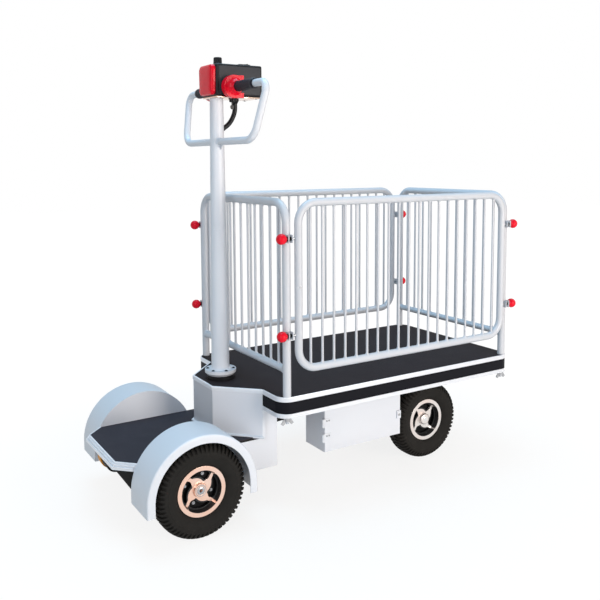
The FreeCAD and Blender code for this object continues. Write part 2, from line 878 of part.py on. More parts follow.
def drive_rim(side, label):
    """A rear rim with the half shaft that turns in the axle tube."""
    y = S.drive_track * side
    end = S.drive_track + SHAFT_OUT
    y_shaft = sided(side, S.drive_track - S.rim_wide / 2 - SHAFT_IN, end)
    y_collar = sided(side, S.drive_track - 10, end)
    shaft = rod(
        S.shaft_dia / 2, y_shaft[1] - y_shaft[0], DRIVE_X, y_shaft[0], S.wheel_radius, "y")
    collar = rod(
        HUB_CORE + 0.5, y_collar[1] - y_collar[0], DRIVE_X, y_collar[0], S.wheel_radius, "y")
    return named(fuse([rim(side, DRIVE_X, y, DRIVE_RIM_TURN), shaft, collar]), label)


def steer_rim(side, label):
    """A front rim, bored for its stub axle, with its domed cap."""
    y = S.steer_track * side
    solid = rim(side, STEER_X, y, STEER_RIM_TURN)
    hub = rod(13.0, 46.0, STEER_X, y - 23, S.wheel_radius, "y")
    cap = rod(20.0, 10.0, STEER_X, y + 15 * side if side > 0 else y - 25, S.wheel_radius, "y")
    cap = rounded(cap, 7.0, lambda edge: outward(edge, number_of(y), side))
    bore_y = span((S.steer_track - 40) * side, (S.steer_track + 20) * side)
    bore = rod(9.0 + RUNNING_FIT, bore_y[1] - bore_y[0], STEER_X, bore_y[0], S.wheel_radius, "y")
    return named(cut(fuse([solid, hub, cap]), [bore]), label)


def outward(edge, middle, side):
    """Whether a round edge is the one at the outer end of a wheel."""
    return edge.BoundBox.YLength < 0.01 and (edge.CenterOfMass.y - middle) * side > 20


def front_axle_beam():
    """The front beam with its two forks, on a pillar under a plate across the deck frame."""
    z = S.wheel_radius
    half = S.beam_bar / 2
    eye = S.kingpin_at
    fork = S.fork_gap / 2 + S.fork_plate
    x = (STEER_X - half, STEER_X + half)
    pieces = [block(x, (-eye + S.fork_throat, eye - S.fork_throat), (z - half, z + half))]
    for side in (-1, 1):
        for low in (S.fork_gap / 2, -fork):
            plate = (z + low, z + low + S.fork_plate)
            pieces.append(block(x, sided(side, eye - S.fork_throat - S.fork_wall / 2, eye), plate))
            pieces.append(rod(half, S.fork_plate, STEER_X, eye * side, z + low))
        wall = sided(side, eye - S.fork_throat - S.fork_wall, eye - S.fork_throat)
        pieces.append(block(x, wall, (z - fork, z + fork)))
    pillar = (-S.pillar_wide / 2, S.pillar_wide / 2)
    pieces.append(block(x, pillar, (z + half, S.deck_bottom)))
    saddle = S.beam_at + S.beam_wide / 2
    pieces.append(block(
        (STEER_X - S.saddle_long / 2, STEER_X + S.saddle_long / 2), (-saddle, saddle),
        (S.deck_bottom - S.saddle_thick, S.deck_bottom)))
    drill = fork + CUT_PAST
    holes = [
        rod(S.kingpin_dia / 2 + RUNNING_FIT, drill * 2, STEER_X, eye * side, z - drill)
        for side in (-1, 1)]
    return named(cut(fuse(pieces), holes), "front_axle_beam")


ARM_TOP = S.link_level - S.eye_tall / 2 - SEAT_GAP
TIE_LEVEL = ARM_TOP - S.arm_thick - S.eye_tall / 2 - SEAT_GAP


def steering_arm(x, y, low):
    """A flat arm over a range of x and of y, from a level up to the arms' common top."""
    return block(x, y, (low, ARM_TOP))


def link_eye(x, y, low):
    """The round end of an arm."""
    return rod(S.arm_eye_dia / 2, S.arm_thick, x, y, low)


def knuckle(side, label):
    """A steering knuckle: barrel, stub axle, kingpin, and its arms above the fork."""
    y = S.kingpin_at * side
    z = S.wheel_radius
    half = S.arm_wide / 2
    pin = S.link_pin / 2
    arm_low = ARM_TOP - S.arm_thick
    pin_low = z - S.fork_gap / 2 - S.fork_plate - PIN_PAST
    tie_low = TIE_LEVEL - S.eye_tall / 2
    tie_x = STEER_X - S.tie_arm
    stub_y = span(y, (S.steer_track + S.stub_past) * side)
    barrel_low = z - S.fork_gap / 2 + SEAT_GAP
    pieces = [
        rod(S.knuckle_dia / 2, S.fork_gap - 2 * SEAT_GAP, STEER_X, y, barrel_low),
        rod(S.kingpin_dia / 2, ARM_TOP - pin_low, STEER_X, y, pin_low),
        rod(S.stub_dia / 2, stub_y[1] - stub_y[0], STEER_X, stub_y[0], z, "y"),
        rod(S.arm_hub_dia / 2, S.arm_thick, STEER_X, y, arm_low),
        steering_arm((tie_x, STEER_X), (y - half, y + half), arm_low),
        link_eye(tie_x, y, arm_low),
        rod(pin, ARM_TOP - tie_low, tie_x, y, tie_low),
    ]
    if side > 0:
        tip = y - S.arm_long
        pieces.append(steering_arm((STEER_X - half, STEER_X + half), (tip, y), arm_low))
        pieces.append(link_eye(STEER_X, tip, arm_low))
        pieces.append(rod(pin, ARM_TOP - arm_low + S.eye_tall, STEER_X, tip, arm_low))
    return named(fuse(pieces), label)


def link(label, level, start, end):
    """A straight steering rod with an eye at each end, on upright pins."""
    first = Vector(number_of(start[0]), number_of(start[1]), number_of(level))
    last = Vector(number_of(end[0]), number_of(end[1]), number_of(level))
    heading = (last - first).normalize()
    bar = number_of(S.link_dia / 2)
    eye = number_of(S.eye_dia / 2)
    tall = number_of(S.eye_tall)
    bore = number_of(S.link_pin / 2) + RUNNING_FIT
    drill = tall / 2 + CUT_PAST
    shapes = [Part.makeCylinder(bar, (last - first).Length, first, heading)]
    for point in (first, last):
        shapes.append(Part.makeCylinder(eye, tall, point - Vector(0, 0, tall / 2)))
    solid = merged(shapes)
    for point in (first, last):
        solid = solid.cut(Part.makeCylinder(bore, drill * 2, point - Vector(0, 0, drill)))
    return named(solid_feature(solid), label)


# ---------------------------------------------------------------- battery boxes

def battery_x(inset=0.0):
    return (BATTERY_X + inset, BATTERY_X + S.battery_long - inset)


def battery_boxes():
    """Two sheet steel boxes under the deck, open at their outer face, each with two hinge knuckles."""
    boxes = []
    for side in (-1, 1):
        z = (S.battery_floor, S.deck_bottom)
        door = S.battery_out - S.sheet
        shell = block(battery_x(), sided(side, S.battery_in, door), z)
        room = block(
            battery_x(S.sheet), sided(side, S.battery_in + S.sheet, door + 1),
            (S.battery_floor + S.sheet, S.deck_bottom - S.sheet))
        knuckles = []
        for low in hinge_levels():
            knuckles.append(hinge_barrel(side, low, S.hinge_knuckle))
            knuckles.append(block(
                (BATTERY_X - 4, BATTERY_X), sided(side, door - 14, S.battery_out - 1),
                (low, low + S.hinge_knuckle)))
        pins = [hinge_pin_hole(side, low) for low in hinge_levels()]
        boxes.append(cut(fuse([cut(shell, [room])] + knuckles), pins))
    return named(group(boxes), "battery_boxes")


HINGE_X = BATTERY_X - S.hinge_dia / 2


def hinge_levels():
    """The lower end of each battery door hinge."""
    return [S.battery_floor + S.hinge_low, S.battery_floor + S.hinge_high]


def hinge_barrel(side, low, tall):
    return rod(S.hinge_dia / 2, tall, HINGE_X, S.battery_out * side, low)


def hinge_pin_hole(side, low):
    tall = S.hinge_knuckle + S.hinge_leaf + 2 * CUT_PAST
    return rod(S.hinge_pin / 2 + RUNNING_FIT, tall, HINGE_X, S.battery_out * side, low - CUT_PAST)


def battery_door(side, label):
    """A battery box door with its two hinge leaves and pins at the rear edge, and a hasp at the front."""
    seat = S.battery_out + SEAT_GAP
    face = sided(side, seat - S.sheet, seat)
    z = (S.battery_floor + 0.5, S.deck_bottom - 4)
    pieces = [block((BATTERY_X + 1, BATTERY_X + S.battery_long), face, z)]
    leaf = sided(side, seat, seat + S.leaf_thick)
    for low in hinge_levels():
        upper = low + S.hinge_knuckle + SEAT_GAP
        pin_tall = S.hinge_knuckle + S.hinge_leaf
        pieces.append(hinge_barrel(side, upper, S.hinge_leaf))
        pieces.append(rod(S.hinge_pin / 2, pin_tall, HINGE_X, S.battery_out * side, low))
        pieces.append(block((HINGE_X, BATTERY_X + S.leaf_long), leaf, (upper, upper + S.hinge_leaf)))
    hasp = sided(side, seat, seat + S.hasp_thick)
    hasp_low = S.battery_floor + S.hasp_rise
    end = BATTERY_X + S.battery_long
    pieces.append(block((end - S.hasp_long, end), hasp, (hasp_low, hasp_low + S.hasp_tall)))
    return named(fuse(pieces), label)


def batteries():
    """A battery in each box, standing on its floor."""
    blocks = []
    for side in (-1, 1):
        low = S.battery_floor + S.sheet
        y = sided(side, S.battery_in + S.block_inner, S.battery_out - S.block_outer)
        blocks.append(block(battery_x(S.block_end), y, (low, low + S.block_tall)))
    return named(group(blocks), "batteries")


# ---------------------------------------------------------------- steering column and handle

def bearing_seat():
    """The round bearing housing on the neck that the column's flange turns on."""
    top = S.column_foot - S.flange_thick - SEAT_GAP
    outer = S.flange_dia / 2 - SEAT_INSET
    bore = S.column_shaft / 2 + RUNNING_FIT
    profile = [
        (bore, 0.0), (outer, 0.0), (outer, top - PLATE_TOP), (bore, top - PLATE_TOP),
    ]
    return named(turned_body("Seat", profile, COLUMN_X, 0.0, PLATE_TOP), "bearing_seat")


def steering_shaft():
    """The column's flange with the shaft below it, and the drop arm that moves the drag link."""
    arm_low = ARM_TOP - S.arm_thick
    half = S.arm_wide / 2
    flange = rod(S.flange_dia / 2, S.flange_thick, COLUMN_X, 0.0, S.column_foot - S.flange_thick)
    shaft_tall = S.column_foot - S.flange_thick / 2 - arm_low
    shaft = rod(S.column_shaft / 2, shaft_tall, COLUMN_X, 0.0, arm_low)
    tip = -S.arm_long
    arm = steering_arm((COLUMN_X - half, COLUMN_X + half), (tip, tip + S.arm_long), arm_low)
    eye = link_eye(COLUMN_X, tip, arm_low)
    pin = rod(S.link_pin / 2, S.arm_thick + S.eye_tall, COLUMN_X, tip, arm_low)
    return named(fuse([flange, shaft, arm, eye, pin]), "steering_shaft")


def steering_column():
    """The tapered column, bored across for the handle's cross tube and in front for the conduit."""
    tall = S.column_top - S.column_foot
    profile = [(0.0, 0.0), (S.column_low_dia / 2, 0.0), (S.column_high_dia / 2, tall), (0.0, tall)]
    body = turned_body("Column", profile, COLUMN_X, 0.0, S.column_foot)
    cross = rod(S.handle_dia / 2 + RUNNING_FIT, 120.0, COLUMN_X, -60.0, S.handle_cross, "y")
    way = conduit_points()
    socket = Part.makeCylinder(CONDUIT_RADIUS + SEAT_GAP, 14, way[-1], way[-2] - way[-1])
    return named(cut(body, [cross, solid_feature(socket)]), "steering_column")


def handle_loop():
    """The bent handle tube: across the column, out and up to both grips, and in to the head's sides."""
    low = number_of(S.handle_cross)
    level = number_of(S.handle_level)
    column = number_of(COLUMN_X)
    front = number_of(HANDLE_X)
    inner = number_of(S.head_wide / 2) + SEAT_GAP
    low_half = number_of(S.handle_low_half)
    half = number_of(S.handle_half)
    right = [
        Vector(front, -inner, level), Vector(front, -half, level), Vector(column, -low_half, low)]
    left = [Vector(point.x, -point.y, point.z) for point in reversed(right)]
    bends = [number_of(value) for value in (
        S.handle_top_bend, S.handle_low_bend, S.handle_low_bend, S.handle_top_bend)]
    tube = bent_tube(right + left, bends, number_of(S.handle_dia / 2))
    return named(solid_feature(tube), "handle_loop")


def sleeve(outer, y, x=HANDLE_X, z=S.handle_level):
    """A ring round the handle tube between two y."""
    solid = rod(outer, y[1] - y[0], x, y[0], z, "y")
    bore = rod(S.handle_dia / 2 + RUNNING_FIT, y[1] - y[0] + 4, x, y[0] - 2, z, "y")
    return cut(solid, [bore])


def handle_grips():
    """The two rubber grips."""
    grips = [sleeve(S.grip_dia / 2, sided(side, S.grip_start, S.grip_end)) for side in (-1, 1)]
    return named(group(grips), "handle_grips")


def thumb_controls():
    """The two thumb wheels beside the head: a disc and two ears in front of it."""
    wheels = []
    for side in (-1, 1):
        y = sided(side, S.head_wide / 2 + 9, S.grip_start - 1)
        disc = rod(35.0, y[1] - y[0], HANDLE_X - 8, y[0], S.handle_level, "y")
        slab = block((HANDLE_X + 8, HANDLE_X + 60), y, (S.handle_level - 40, S.handle_level + 40))
        ears = []
        for low in (-34.0, 18.0):
            ears.append(block(
                (HANDLE_X - 6, HANDLE_X + 24), y, (S.handle_level + low, S.handle_level + low + 16)))
        bore = rod(
            S.handle_dia / 2 + RUNNING_FIT, y[1] - y[0] + 4, HANDLE_X, y[0] - 2, S.handle_level, "y")
        wheels.append(cut(fuse([cut(disc, [slab])] + ears), [bore]))
    return named(group(wheels), "thumb_controls")


HEAD_X = (COLUMN_X - S.head_back, COLUMN_X - S.head_back + S.head_long)
HEAD_LOW = S.column_top + 4
HEAD_TOP = HEAD_LOW + S.head_tall


def control_box():
    """The control head's housing."""
    half = S.head_wide / 2
    case = block(HEAD_X, (-half, half), (HEAD_LOW, HEAD_TOP))
    return named(rounded(case, 5.0, lambda edge: edge.Length > 50), "control_box")


def control_base_plate():
    """The steel plate that joins the head to the column."""
    half = S.head_wide / 2 - 2
    plate = block(
        (HEAD_X[0] + 2, HEAD_X[1] - 2), (-half, half), (S.column_top, HEAD_LOW))
    return named(plate, "control_base_plate")


def stop_button():
    """The bulging safety button on the head's rear face."""
    half = S.head_wide / 2 - 5
    slab = block((HEAD_X[0] - 16, HEAD_X[0]), (-half, half), (HEAD_LOW + 4, HEAD_TOP - 2))
    return named(rounded(slab, 7.0, lambda edge: number_of(HEAD_X[0]) - edge.CenterOfMass.x > 0.01),
                 "stop_button")


def speed_knob():
    """The ribbed speed knob on top of the head."""
    x = COLUMN_X + 6
    core = rod(12.5, 24.0, x, 0.0, HEAD_TOP)
    skirt = rod(14.5, 5.0, x, 0.0, HEAD_TOP)
    ribs = []
    for step in range(12):
        angle = math.radians(30.0 * step)
        ribs.append(rod(1.6, 22.0, x + 12.5 * math.cos(angle), 12.5 * math.sin(angle), HEAD_TOP))
    return named(fuse([core, skirt] + ribs), "speed_knob")


def power_switch():
    """The rocker switch on top of the head."""
    x = HEAD_X[1] - 55
    frame = block((x - 20, x + 20), (-42.0, -18.0), (HEAD_TOP, HEAD_TOP + 3))
    rocker = block((x - 14, x + 14), (-38.0, -22.0), (HEAD_TOP, HEAD_TOP + 6))
    return named(fuse([frame, rocker]), "power_switch")


def key_switch():
    """The lock under the head, with its key."""
    x = COLUMN_X + 42
    barrel = rod(9.0, 12.0, x, -24.0, S.column_top - 12)
    nut = rod(11.0, 3.0, x, -24.0, S.column_top - 3)
    blade = block((x - 5, x + 5), (-25.0, -23.0), (S.column_top - 34, S.column_top - 12))
    return named(fuse([barrel, nut, blade]), "key_switch")


CONDUIT_RADIUS = 7.5
CONDUIT_BENDS = (68.0, 68.0)


def conduit_points():
    """The conduit's route: straight down from the head, then back into the column."""
    x = number_of(COLUMN_X)
    top = number_of(S.column_top)
    return [
        Vector(x + 64, 0, top), Vector(x + 64, 0, top - 42), Vector(x + 46, 0, top - 76),
        Vector(x + 17, 0, top - 97)]


def control_conduit():
    """The black conduit that carries the wires from the head into the column."""
    tube = bent_tube(conduit_points(), CONDUIT_BENDS, CONDUIT_RADIUS)
    return named(solid_feature(tube), "control_conduit")


# ---------------------------------------------------------------- cage

def bars_between(count, first, last, low, high, along_x, fixed):
    """Upright bars, evenly spaced between two uprights."""
    radius = number_of(S.bar_dia / 2)
    step = (last - first) / (count + 1)
    shapes = []
    for number in range(1, count + 1):
        at = first + step * number
        base = Vector(at, fixed, low) if along_x else Vector(fixed, at, low)
        shapes.append(Part.makeCylinder(radius, high - low, base))
    return shapes


END_BARS = 11
GATE_BARS = 19


def end_panel(x, way, label):
    """An end of the cage: an arched tube whose legs stand on the deck, a bottom rail, bars and brackets."""
    radius = number_of(S.post_dia / 2)
    at = number_of(x)
    half = number_of(POST_Y)
    foot = number_of(PLATE_TOP)
    top = number_of(RAIL_Z)
    rail = number_of(BOTTOM_Z)
    points = [
        Vector(at, -half, foot), Vector(at, -half, top), Vector(at, half, top), Vector(at, half, foot)]
    shapes = [bent_tube(points, [number_of(S.tube_bend)] * 2, radius)]
    shapes.append(Part.makeCylinder(radius - 1.5, 2 * half, Vector(at, -half, rail), Vector(0, 1, 0)))
    shapes += bars_between(END_BARS, -half, half, rail, top, False, at)
    for side in (-1, 1):
        stud = foot - number_of(S.deck_bottom) + 20
        shapes.append(Part.makeCylinder(
            number_of(S.stud_dia / 2), stud, Vector(at, side * half, foot - stud)))
        for level in (LOW_BOLT_Z, HIGH_BOLT_Z):
            shapes.append(bolt_bracket(at, side, number_of(level), way))
    solid = merged(shapes)
    for side in (-1, 1):
        for level in (LOW_BOLT_Z, HIGH_BOLT_Z):
            start = Vector(at - 30, side * number_of(GATE_Y), number_of(level))
            hole = Part.makeCylinder(
                number_of(S.bolt_dia / 2) + RUNNING_FIT, 60, start, Vector(1, 0, 0))
            solid = solid.cut(hole)
    return named(solid_feature(solid), label)


def bolt_bracket(at, side, level, way):
    """A channel welded on a post: two ears across the bolt, joined along their outer edge."""
    inner = number_of(POST_Y) + 5
    outer = number_of(GATE_Y) + 9
    low = min(side * inner, side * outer)
    shapes = []
    for start in (-8.0, 5.0):
        shapes.append(Part.makeBox(3, outer - inner, 24, Vector(at + start, low, level - 12)))
    back = outer - 3 if side > 0 else -outer
    shapes.append(Part.makeBox(16, 3, 24, Vector(at - 8, back, level - 12)))
    return merged(shapes)


def gate(side, label):
    """A side of the cage: a closed loop of tube with rounded corners, and its bars."""
    radius = number_of(S.gate_tube / 2)
    bend = number_of(S.tube_bend)
    y = number_of(GATE_Y) * side
    left = number_of(REAR_POST + S.gate_inset)
    right = number_of(FRONT_POST - S.gate_inset)
    top = number_of(RAIL_Z)
    low = number_of(BOTTOM_Z)
    middle = (left + right) / 2
    points = [
        Vector(middle, y, low), Vector(right, y, low), Vector(right, y, top), Vector(left, y, top),
        Vector(left, y, low), Vector(middle, y, low)]
    shapes = [bent_tube(points, [bend] * 4, radius)]
    shapes += bars_between(GATE_BARS, left, right, low, top, True, y)
    solid = merged(shapes)
    deep = GATE_PIN_DEEP + 2
    for edge, way in ((left - radius, 1), (right + radius, -1)):
        for level in (LOW_BOLT_Z, HIGH_BOLT_Z):
            start = Vector(edge - 2 * way, y, number_of(level))
            hole = Part.makeCylinder(
                number_of(S.bolt_dia / 2) + RUNNING_FIT, deep + 2, start, Vector(way, 0, 0))
            solid = solid.cut(hole)
    return named(solid_feature(solid), label)


def bolt_places():
    """Every spring bolt, as (post x, outward way, side, level, is_low)."""
    places = []
    for x, way in ((REAR_POST, -1), (FRONT_POST, 1)):
        for side in (-1, 1):
            places.append((x, way, side, LOW_BOLT_Z, True))
            places.append((x, way, side, HIGH_BOLT_Z, False))
    return places


def spring_bolts():
    """The eight bolts: the lower ones carry the gates, the upper ones are drawn back."""
    face = S.gate_inset - S.gate_tube / 2
    bolts = []
    for x, way, side, level, is_low in bolt_places():
        tip = face + GATE_PIN_DEEP if is_low else face - PIN_STOP
        tail = -(S.knob_out - 8)
        ends = span(x - tip * way, x - tail * way)
        bolts.append(rod(S.bolt_dia / 2, ends[1] - ends[0], ends[0], GATE_Y * side, level, "x"))
    return named(group(bolts), "spring_bolts")


def bolt_collars():
    """The black collar between each knob and its bracket."""
    rings = []
    for x, way, side, level, _ in bolt_places():
        ends = span(x + 8 * way, x + (S.knob_out - S.knob_dia / 2 + 0.2) * way)
        outer = rod(6.5, ends[1] - ends[0], ends[0], GATE_Y * side, level, "x")
        bore = rod(
            S.bolt_dia / 2 + RUNNING_FIT, ends[1] - ends[0] + 4, ends[0] - 2, GATE_Y * side, level, "x")
        rings.append(cut(outer, [bore]))
    return named(group(rings), "bolt_collars")


def bolt_knobs():
    """The eight red ball knobs."""
    knobs = []
    for x, way, side, level, _ in bolt_places():
        centre = x + S.knob_out * way
        ends = span(x + (S.knob_out - 8) * way, x)
        socket = rod(
            S.bolt_dia / 2 + RUNNING_FIT, ends[1] - ends[0], ends[0], GATE_Y * side, level, "x")
        seam_aside = Rotation(Vector(0, 0, 1), 90)
        knob = ball(S.knob_dia / 2, centre, GATE_Y * side, level, seam_aside)
        knobs.append(cut(knob, [socket]))
    return named(group(knobs), "bolt_knobs")


def wing_nuts():
    """The wing nuts on the posts' studs, under the deck's corners."""
    wing = [(-9.0, 0.0), (-22.0, -19.0), (-14.0, -24.0), (0.0, -9.0),
            (14.0, -24.0), (22.0, -19.0), (9.0, 0.0)]
    nuts = []
    for x, y in post_places():
        hub = rod(9.0, 12.0, x, y, S.deck_bottom - 12)
        wings = make_body(
            "Wings", lambda body: pad(body, outline_sketch(body, "XZ_Plane", wing), WING_THICK))
        place(wings, x, y + WING_THICK / 2, S.deck_bottom)
        stud = rod(S.stud_dia / 2 + RUNNING_FIT, 60.0, x, y, S.deck_bottom - 40)
        nuts.append(cut(fuse([hub, wings]), [stud]))
    return named(group(nuts), "wing_nuts")


# ---------------------------------------------------------------- build and write

def build():
    deck_frame()
    deck_edge_profile()
    deck_band()
    deck_mat()
    neck_box()
    chassis_box()
    platform_plate()
    platform_mat()
    platform_trim()
    rear_gussets()
    drive_axle()
    drive_motor()
    motor_end_bell()
    for side, hand in ((-1, "right"), (1, "left")):
        fender(side, "fender_" + hand)
        tyre("rear_tyre_" + hand, DRIVE_X, S.drive_track * side)
        drive_rim(side, "rear_rim_" + hand)
        tyre("front_tyre_" + hand, STEER_X, S.steer_track * side)
        steer_rim(side, "front_rim_" + hand)
        knuckle(side, "knuckle_" + hand)
        battery_door(side, "battery_door_" + hand)
        gate(side, "side_gate_" + hand)
    front_axle_beam()
    tie_x = STEER_X - S.tie_arm
    link("tie_rod", TIE_LEVEL, (tie_x, -S.kingpin_at), (tie_x, S.kingpin_at))
    link("drag_link", S.link_level, (COLUMN_X, -S.arm_long), (STEER_X, S.kingpin_at - S.arm_long))
    battery_boxes()
    batteries()
    bearing_seat()
    steering_shaft()
    steering_column()
    handle_loop()
    handle_grips()
    thumb_controls()
    control_box()
    control_base_plate()
    stop_button()
    speed_knob()
    power_switch()
    key_switch()
    control_conduit()
    end_panel(REAR_POST, -1, "end_panel_rear")
    end_panel(FRONT_POST, 1, "end_panel_front")
    spring_bolts()
    bolt_collars()
    bolt_knobs()
    wing_nuts()
    doc.recompute()


def check():
    """Raise if any object failed or any sub-part has no sound shape."""
    faults = []
    for item in doc.Objects:
        if "Invalid" in item.State or "Error" in item.State:
            faults.append("%s %s" % (item.Label, item.State))
    for item in sub_parts:
        if item.Shape.isNull() or not item.Shape.isValid() or not item.Shape.Solids:
            faults.append("%s has no sound shape" % item.Label)
    if faults:
        raise RuntimeError("; ".join(faults))


def write():
    os.makedirs("parts", exist_ok=True)
    for item in sub_parts:
        item.Shape.exportStep(os.path.join("parts", item.Label + ".step"))
        box = item.Shape.BoundBox
        print("%-20s %2d solids  x %7.1f %7.1f  y %7.1f %7.1f  z %7.1f %7.1f" % (
            item.Label, len(item.Shape.Solids),
            box.XMin, box.XMax, box.YMin, box.YMax, box.ZMin, box.ZMax))


build()
check()
write()
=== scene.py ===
import math

import bmesh
import bpy
import numpy as np
from bpy.props import FloatProperty, FloatVectorProperty, IntProperty, PointerProperty
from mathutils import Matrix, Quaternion, Vector


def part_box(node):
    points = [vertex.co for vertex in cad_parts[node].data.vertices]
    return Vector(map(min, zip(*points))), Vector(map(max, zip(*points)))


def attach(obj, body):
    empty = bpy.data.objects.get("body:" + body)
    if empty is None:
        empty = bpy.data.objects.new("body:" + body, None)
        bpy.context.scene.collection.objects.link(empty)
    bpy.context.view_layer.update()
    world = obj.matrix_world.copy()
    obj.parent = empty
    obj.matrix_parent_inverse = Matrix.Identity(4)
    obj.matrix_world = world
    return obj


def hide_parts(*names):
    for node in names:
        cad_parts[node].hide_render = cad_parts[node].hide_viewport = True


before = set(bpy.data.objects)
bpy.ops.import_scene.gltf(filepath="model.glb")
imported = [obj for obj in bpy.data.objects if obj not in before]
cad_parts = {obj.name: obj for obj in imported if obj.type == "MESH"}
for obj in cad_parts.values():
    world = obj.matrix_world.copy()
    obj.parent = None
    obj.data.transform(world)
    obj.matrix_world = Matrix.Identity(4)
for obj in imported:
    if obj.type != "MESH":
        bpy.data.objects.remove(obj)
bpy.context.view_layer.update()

bl_info = {
    "name": "Electric platform cart",
    "version": (1, 0, 0),
    "blender": (4, 5, 0),
    "location": "View3D > Sidebar > Cart",
    "description": "Builds the looks of a stand-on platform cart round its CAD frame",
    "category": "Object",
}


# ---------------------------------------------------------------- settings

def srgb(red, green, blue):
    """A colour picked on a 0 to 255 scale, as the linear values that Blender works in."""
    share = np.array([red, green, blue]) / 255
    return tuple(float(v) for v in np.where(
        share <= 0.04045, share / 12.92, ((share + 0.055) / 1.055) ** 2.4))


def size(name, description, default, top):
    """A length in metres that can be set, up to the largest that still fits."""
    return FloatProperty(
        name=name, description=description, default=default, min=0.0, max=top,
        precision=4, subtype="DISTANCE", unit="LENGTH")


def colour(name, description, *rgb):
    """A colour that can be set, with its default on a 0 to 255 scale."""
    return FloatVectorProperty(
        name=name, description=description, default=srgb(*rgb), size=3, min=0.0, max=1.0,
        subtype="COLOR")


class CartSizes(bpy.types.PropertyGroup):
    """Sizes of the details that a user may want to change."""

    sheet_edge: size("Sheet edge", "Rounding along the edges of folded sheet", 0.0014, 0.004)
    weld: size("Weld", "How far a weld stands out round a bar", 0.0026, 0.006)
    lug_count: IntProperty(
        name="Tyre lugs", description="Lugs round each tyre", default=58, min=20, max=90)
    lug_deep: size("Lug depth", "Depth of the grooves between the tyre's lugs", 0.0052, 0.008)
    knob_ribs: IntProperty(
        name="Knob ribs", description="Ribs round the speed knob", default=24, min=6, max=60)


class CartColours(bpy.types.PropertyGroup):
    """Colours of the cart's finishes."""

    paint: colour("Paint", "Painted steel", 226, 227, 233)
    profile: colour("Profile", "Aluminium edges", 234, 235, 240)
    mat: colour("Deck mat", "Rubber mat of the cargo deck", 46, 40, 42)
    platform: colour("Platform mat", "Rubber mat of the standing platform", 60, 56, 61)
    band: colour("Band", "Rubber strip in the deck's edge", 20, 20, 26)
    tyre: colour("Tyres", "Tyre rubber", 36, 34, 32)
    rim: colour("Rims", "Cast rims", 240, 200, 180)
    red: colour("Red", "Knobs, thumb wheels and safety pad", 236, 10, 40)
    housing: colour("Housing", "Control head's side panels", 58, 58, 61)
    black: colour("Black plastic", "Black mouldings", 20, 20, 23)
    grip: colour("Grips", "Rubber of the handle's grips", 24, 24, 34)
    dark: colour("Dark steel", "Axles and other black painted steel", 26, 25, 24)
    zinc: colour("Zinc", "Plated bolts and wing nuts", 176, 177, 180)
    bell: colour("End bell", "Plated end bell of the motor", 222, 140, 8)


class CartLight(bpy.types.PropertyGroup):
    """Levels of the studio light."""

    key: FloatProperty(
        name="Key lamp", description="Power of the large lamp beside the cargo end",
        default=88.0, min=0.0, unit="POWER")
    side: FloatProperty(
        name="Side lamp", description="Power of the lamp at the driver's end",
        default=36.0, min=0.0, unit="POWER")
    top: FloatProperty(
        name="Top lamp", description="Power of the lamp overhead", default=92.0, min=0.0,
        unit="POWER")
    room: FloatProperty(
        name="Room", description="Level of the light from all round", default=0.24, min=0.0,
        max=1.0)


def sizes():
    return bpy.context.scene.cart_sizes


def colours():
    return bpy.context.scene.cart_colours


# ---------------------------------------------------------------- places, from the CAD frame

def low(node):
    """The least x, y and z of a CAD node."""
    return np.array(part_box(node)[0])


def high(node):
    """The greatest x, y and z of a CAD node."""
    return np.array(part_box(node)[1])


def middle(node):
    return (low(node) + high(node)) / 2


def half_width(node, axis=0):
    """Half of a node's width along an axis, which is a round one's radius."""
    return (high(node)[axis] - low(node)[axis]) / 2


SIDES = ((-1, "right"), (1, "left"))
GATE_OUT = 0.019         # how far a gate's middle stands outside the posts'
DECK_PAST_POSTS = 0.030  # how far the deck's back edge lies behind the rear posts
DECK_CORNER = 0.042      # radius of the deck's corners
FRAME_DOWN = 0.003       # how far the frame's top lies below the edge profile's
NECK_ROOT = 0.1865       # half the neck's width at the deck
NECK_TIP = 0.072         # and at its narrow end
NECK_REACH = 0.1445      # from the rear posts to that end
PLATFORM_CORNER = 0.122  # half of the platform's straight rear edge
HANDLE_AHEAD = 0.030     # how far the grips stand in front of the column's middle
CROSS_DOWN = 0.135       # from the column's top down to the handle's cross tube
TUBE_BEND = 0.060        # radius of the bends in the cage's tubes
BAR_RADIUS = 0.004
POSTS = (middle("end_panel_rear")[0], middle("end_panel_front")[0])
GATE_Y = middle("side_gate_left")[1]
POST_Y = GATE_Y - GATE_OUT
DECK_TOP = high("deck_edge_profile")[2]
DECK_LOW = low("deck_edge_profile")[2]
DECK_BACK = POSTS[0] - DECK_PAST_POSTS
DECK_FRONT = high("deck_edge_profile")[0]
DECK_HALF = high("deck_edge_profile")[1]
FRAME_TOP = DECK_TOP - FRAME_DOWN
NECK_OUTLINE = np.array([
    (DECK_BACK, -NECK_ROOT), (POSTS[0] - NECK_REACH, -NECK_TIP), (POSTS[0] - NECK_REACH, NECK_TIP),
    (DECK_BACK, NECK_ROOT)])
PLATFORM_TOP = high("platform_mat")[2]
PLATFORM_BACK = low("platform_mat")[0]
PLATFORM_HALF = high("platform_mat")[1]
COLUMN_X = middle("bearing_seat")[0]
COLUMN_FOOT = low("steering_column")[2]
COLUMN_TOP = high("steering_column")[2]
HANDLE_X = COLUMN_X + HANDLE_AHEAD
HANDLE_Z = middle("handle_grips")[2]
CROSS_Z = COLUMN_TOP - CROSS_DOWN


# ---------------------------------------------------------------- surfaces

def unit(vector):
    """Vectors of length one along the last axis."""
    vector = np.asarray(vector, float)
    return vector / np.linalg.norm(vector, axis=-1, keepdims=True)


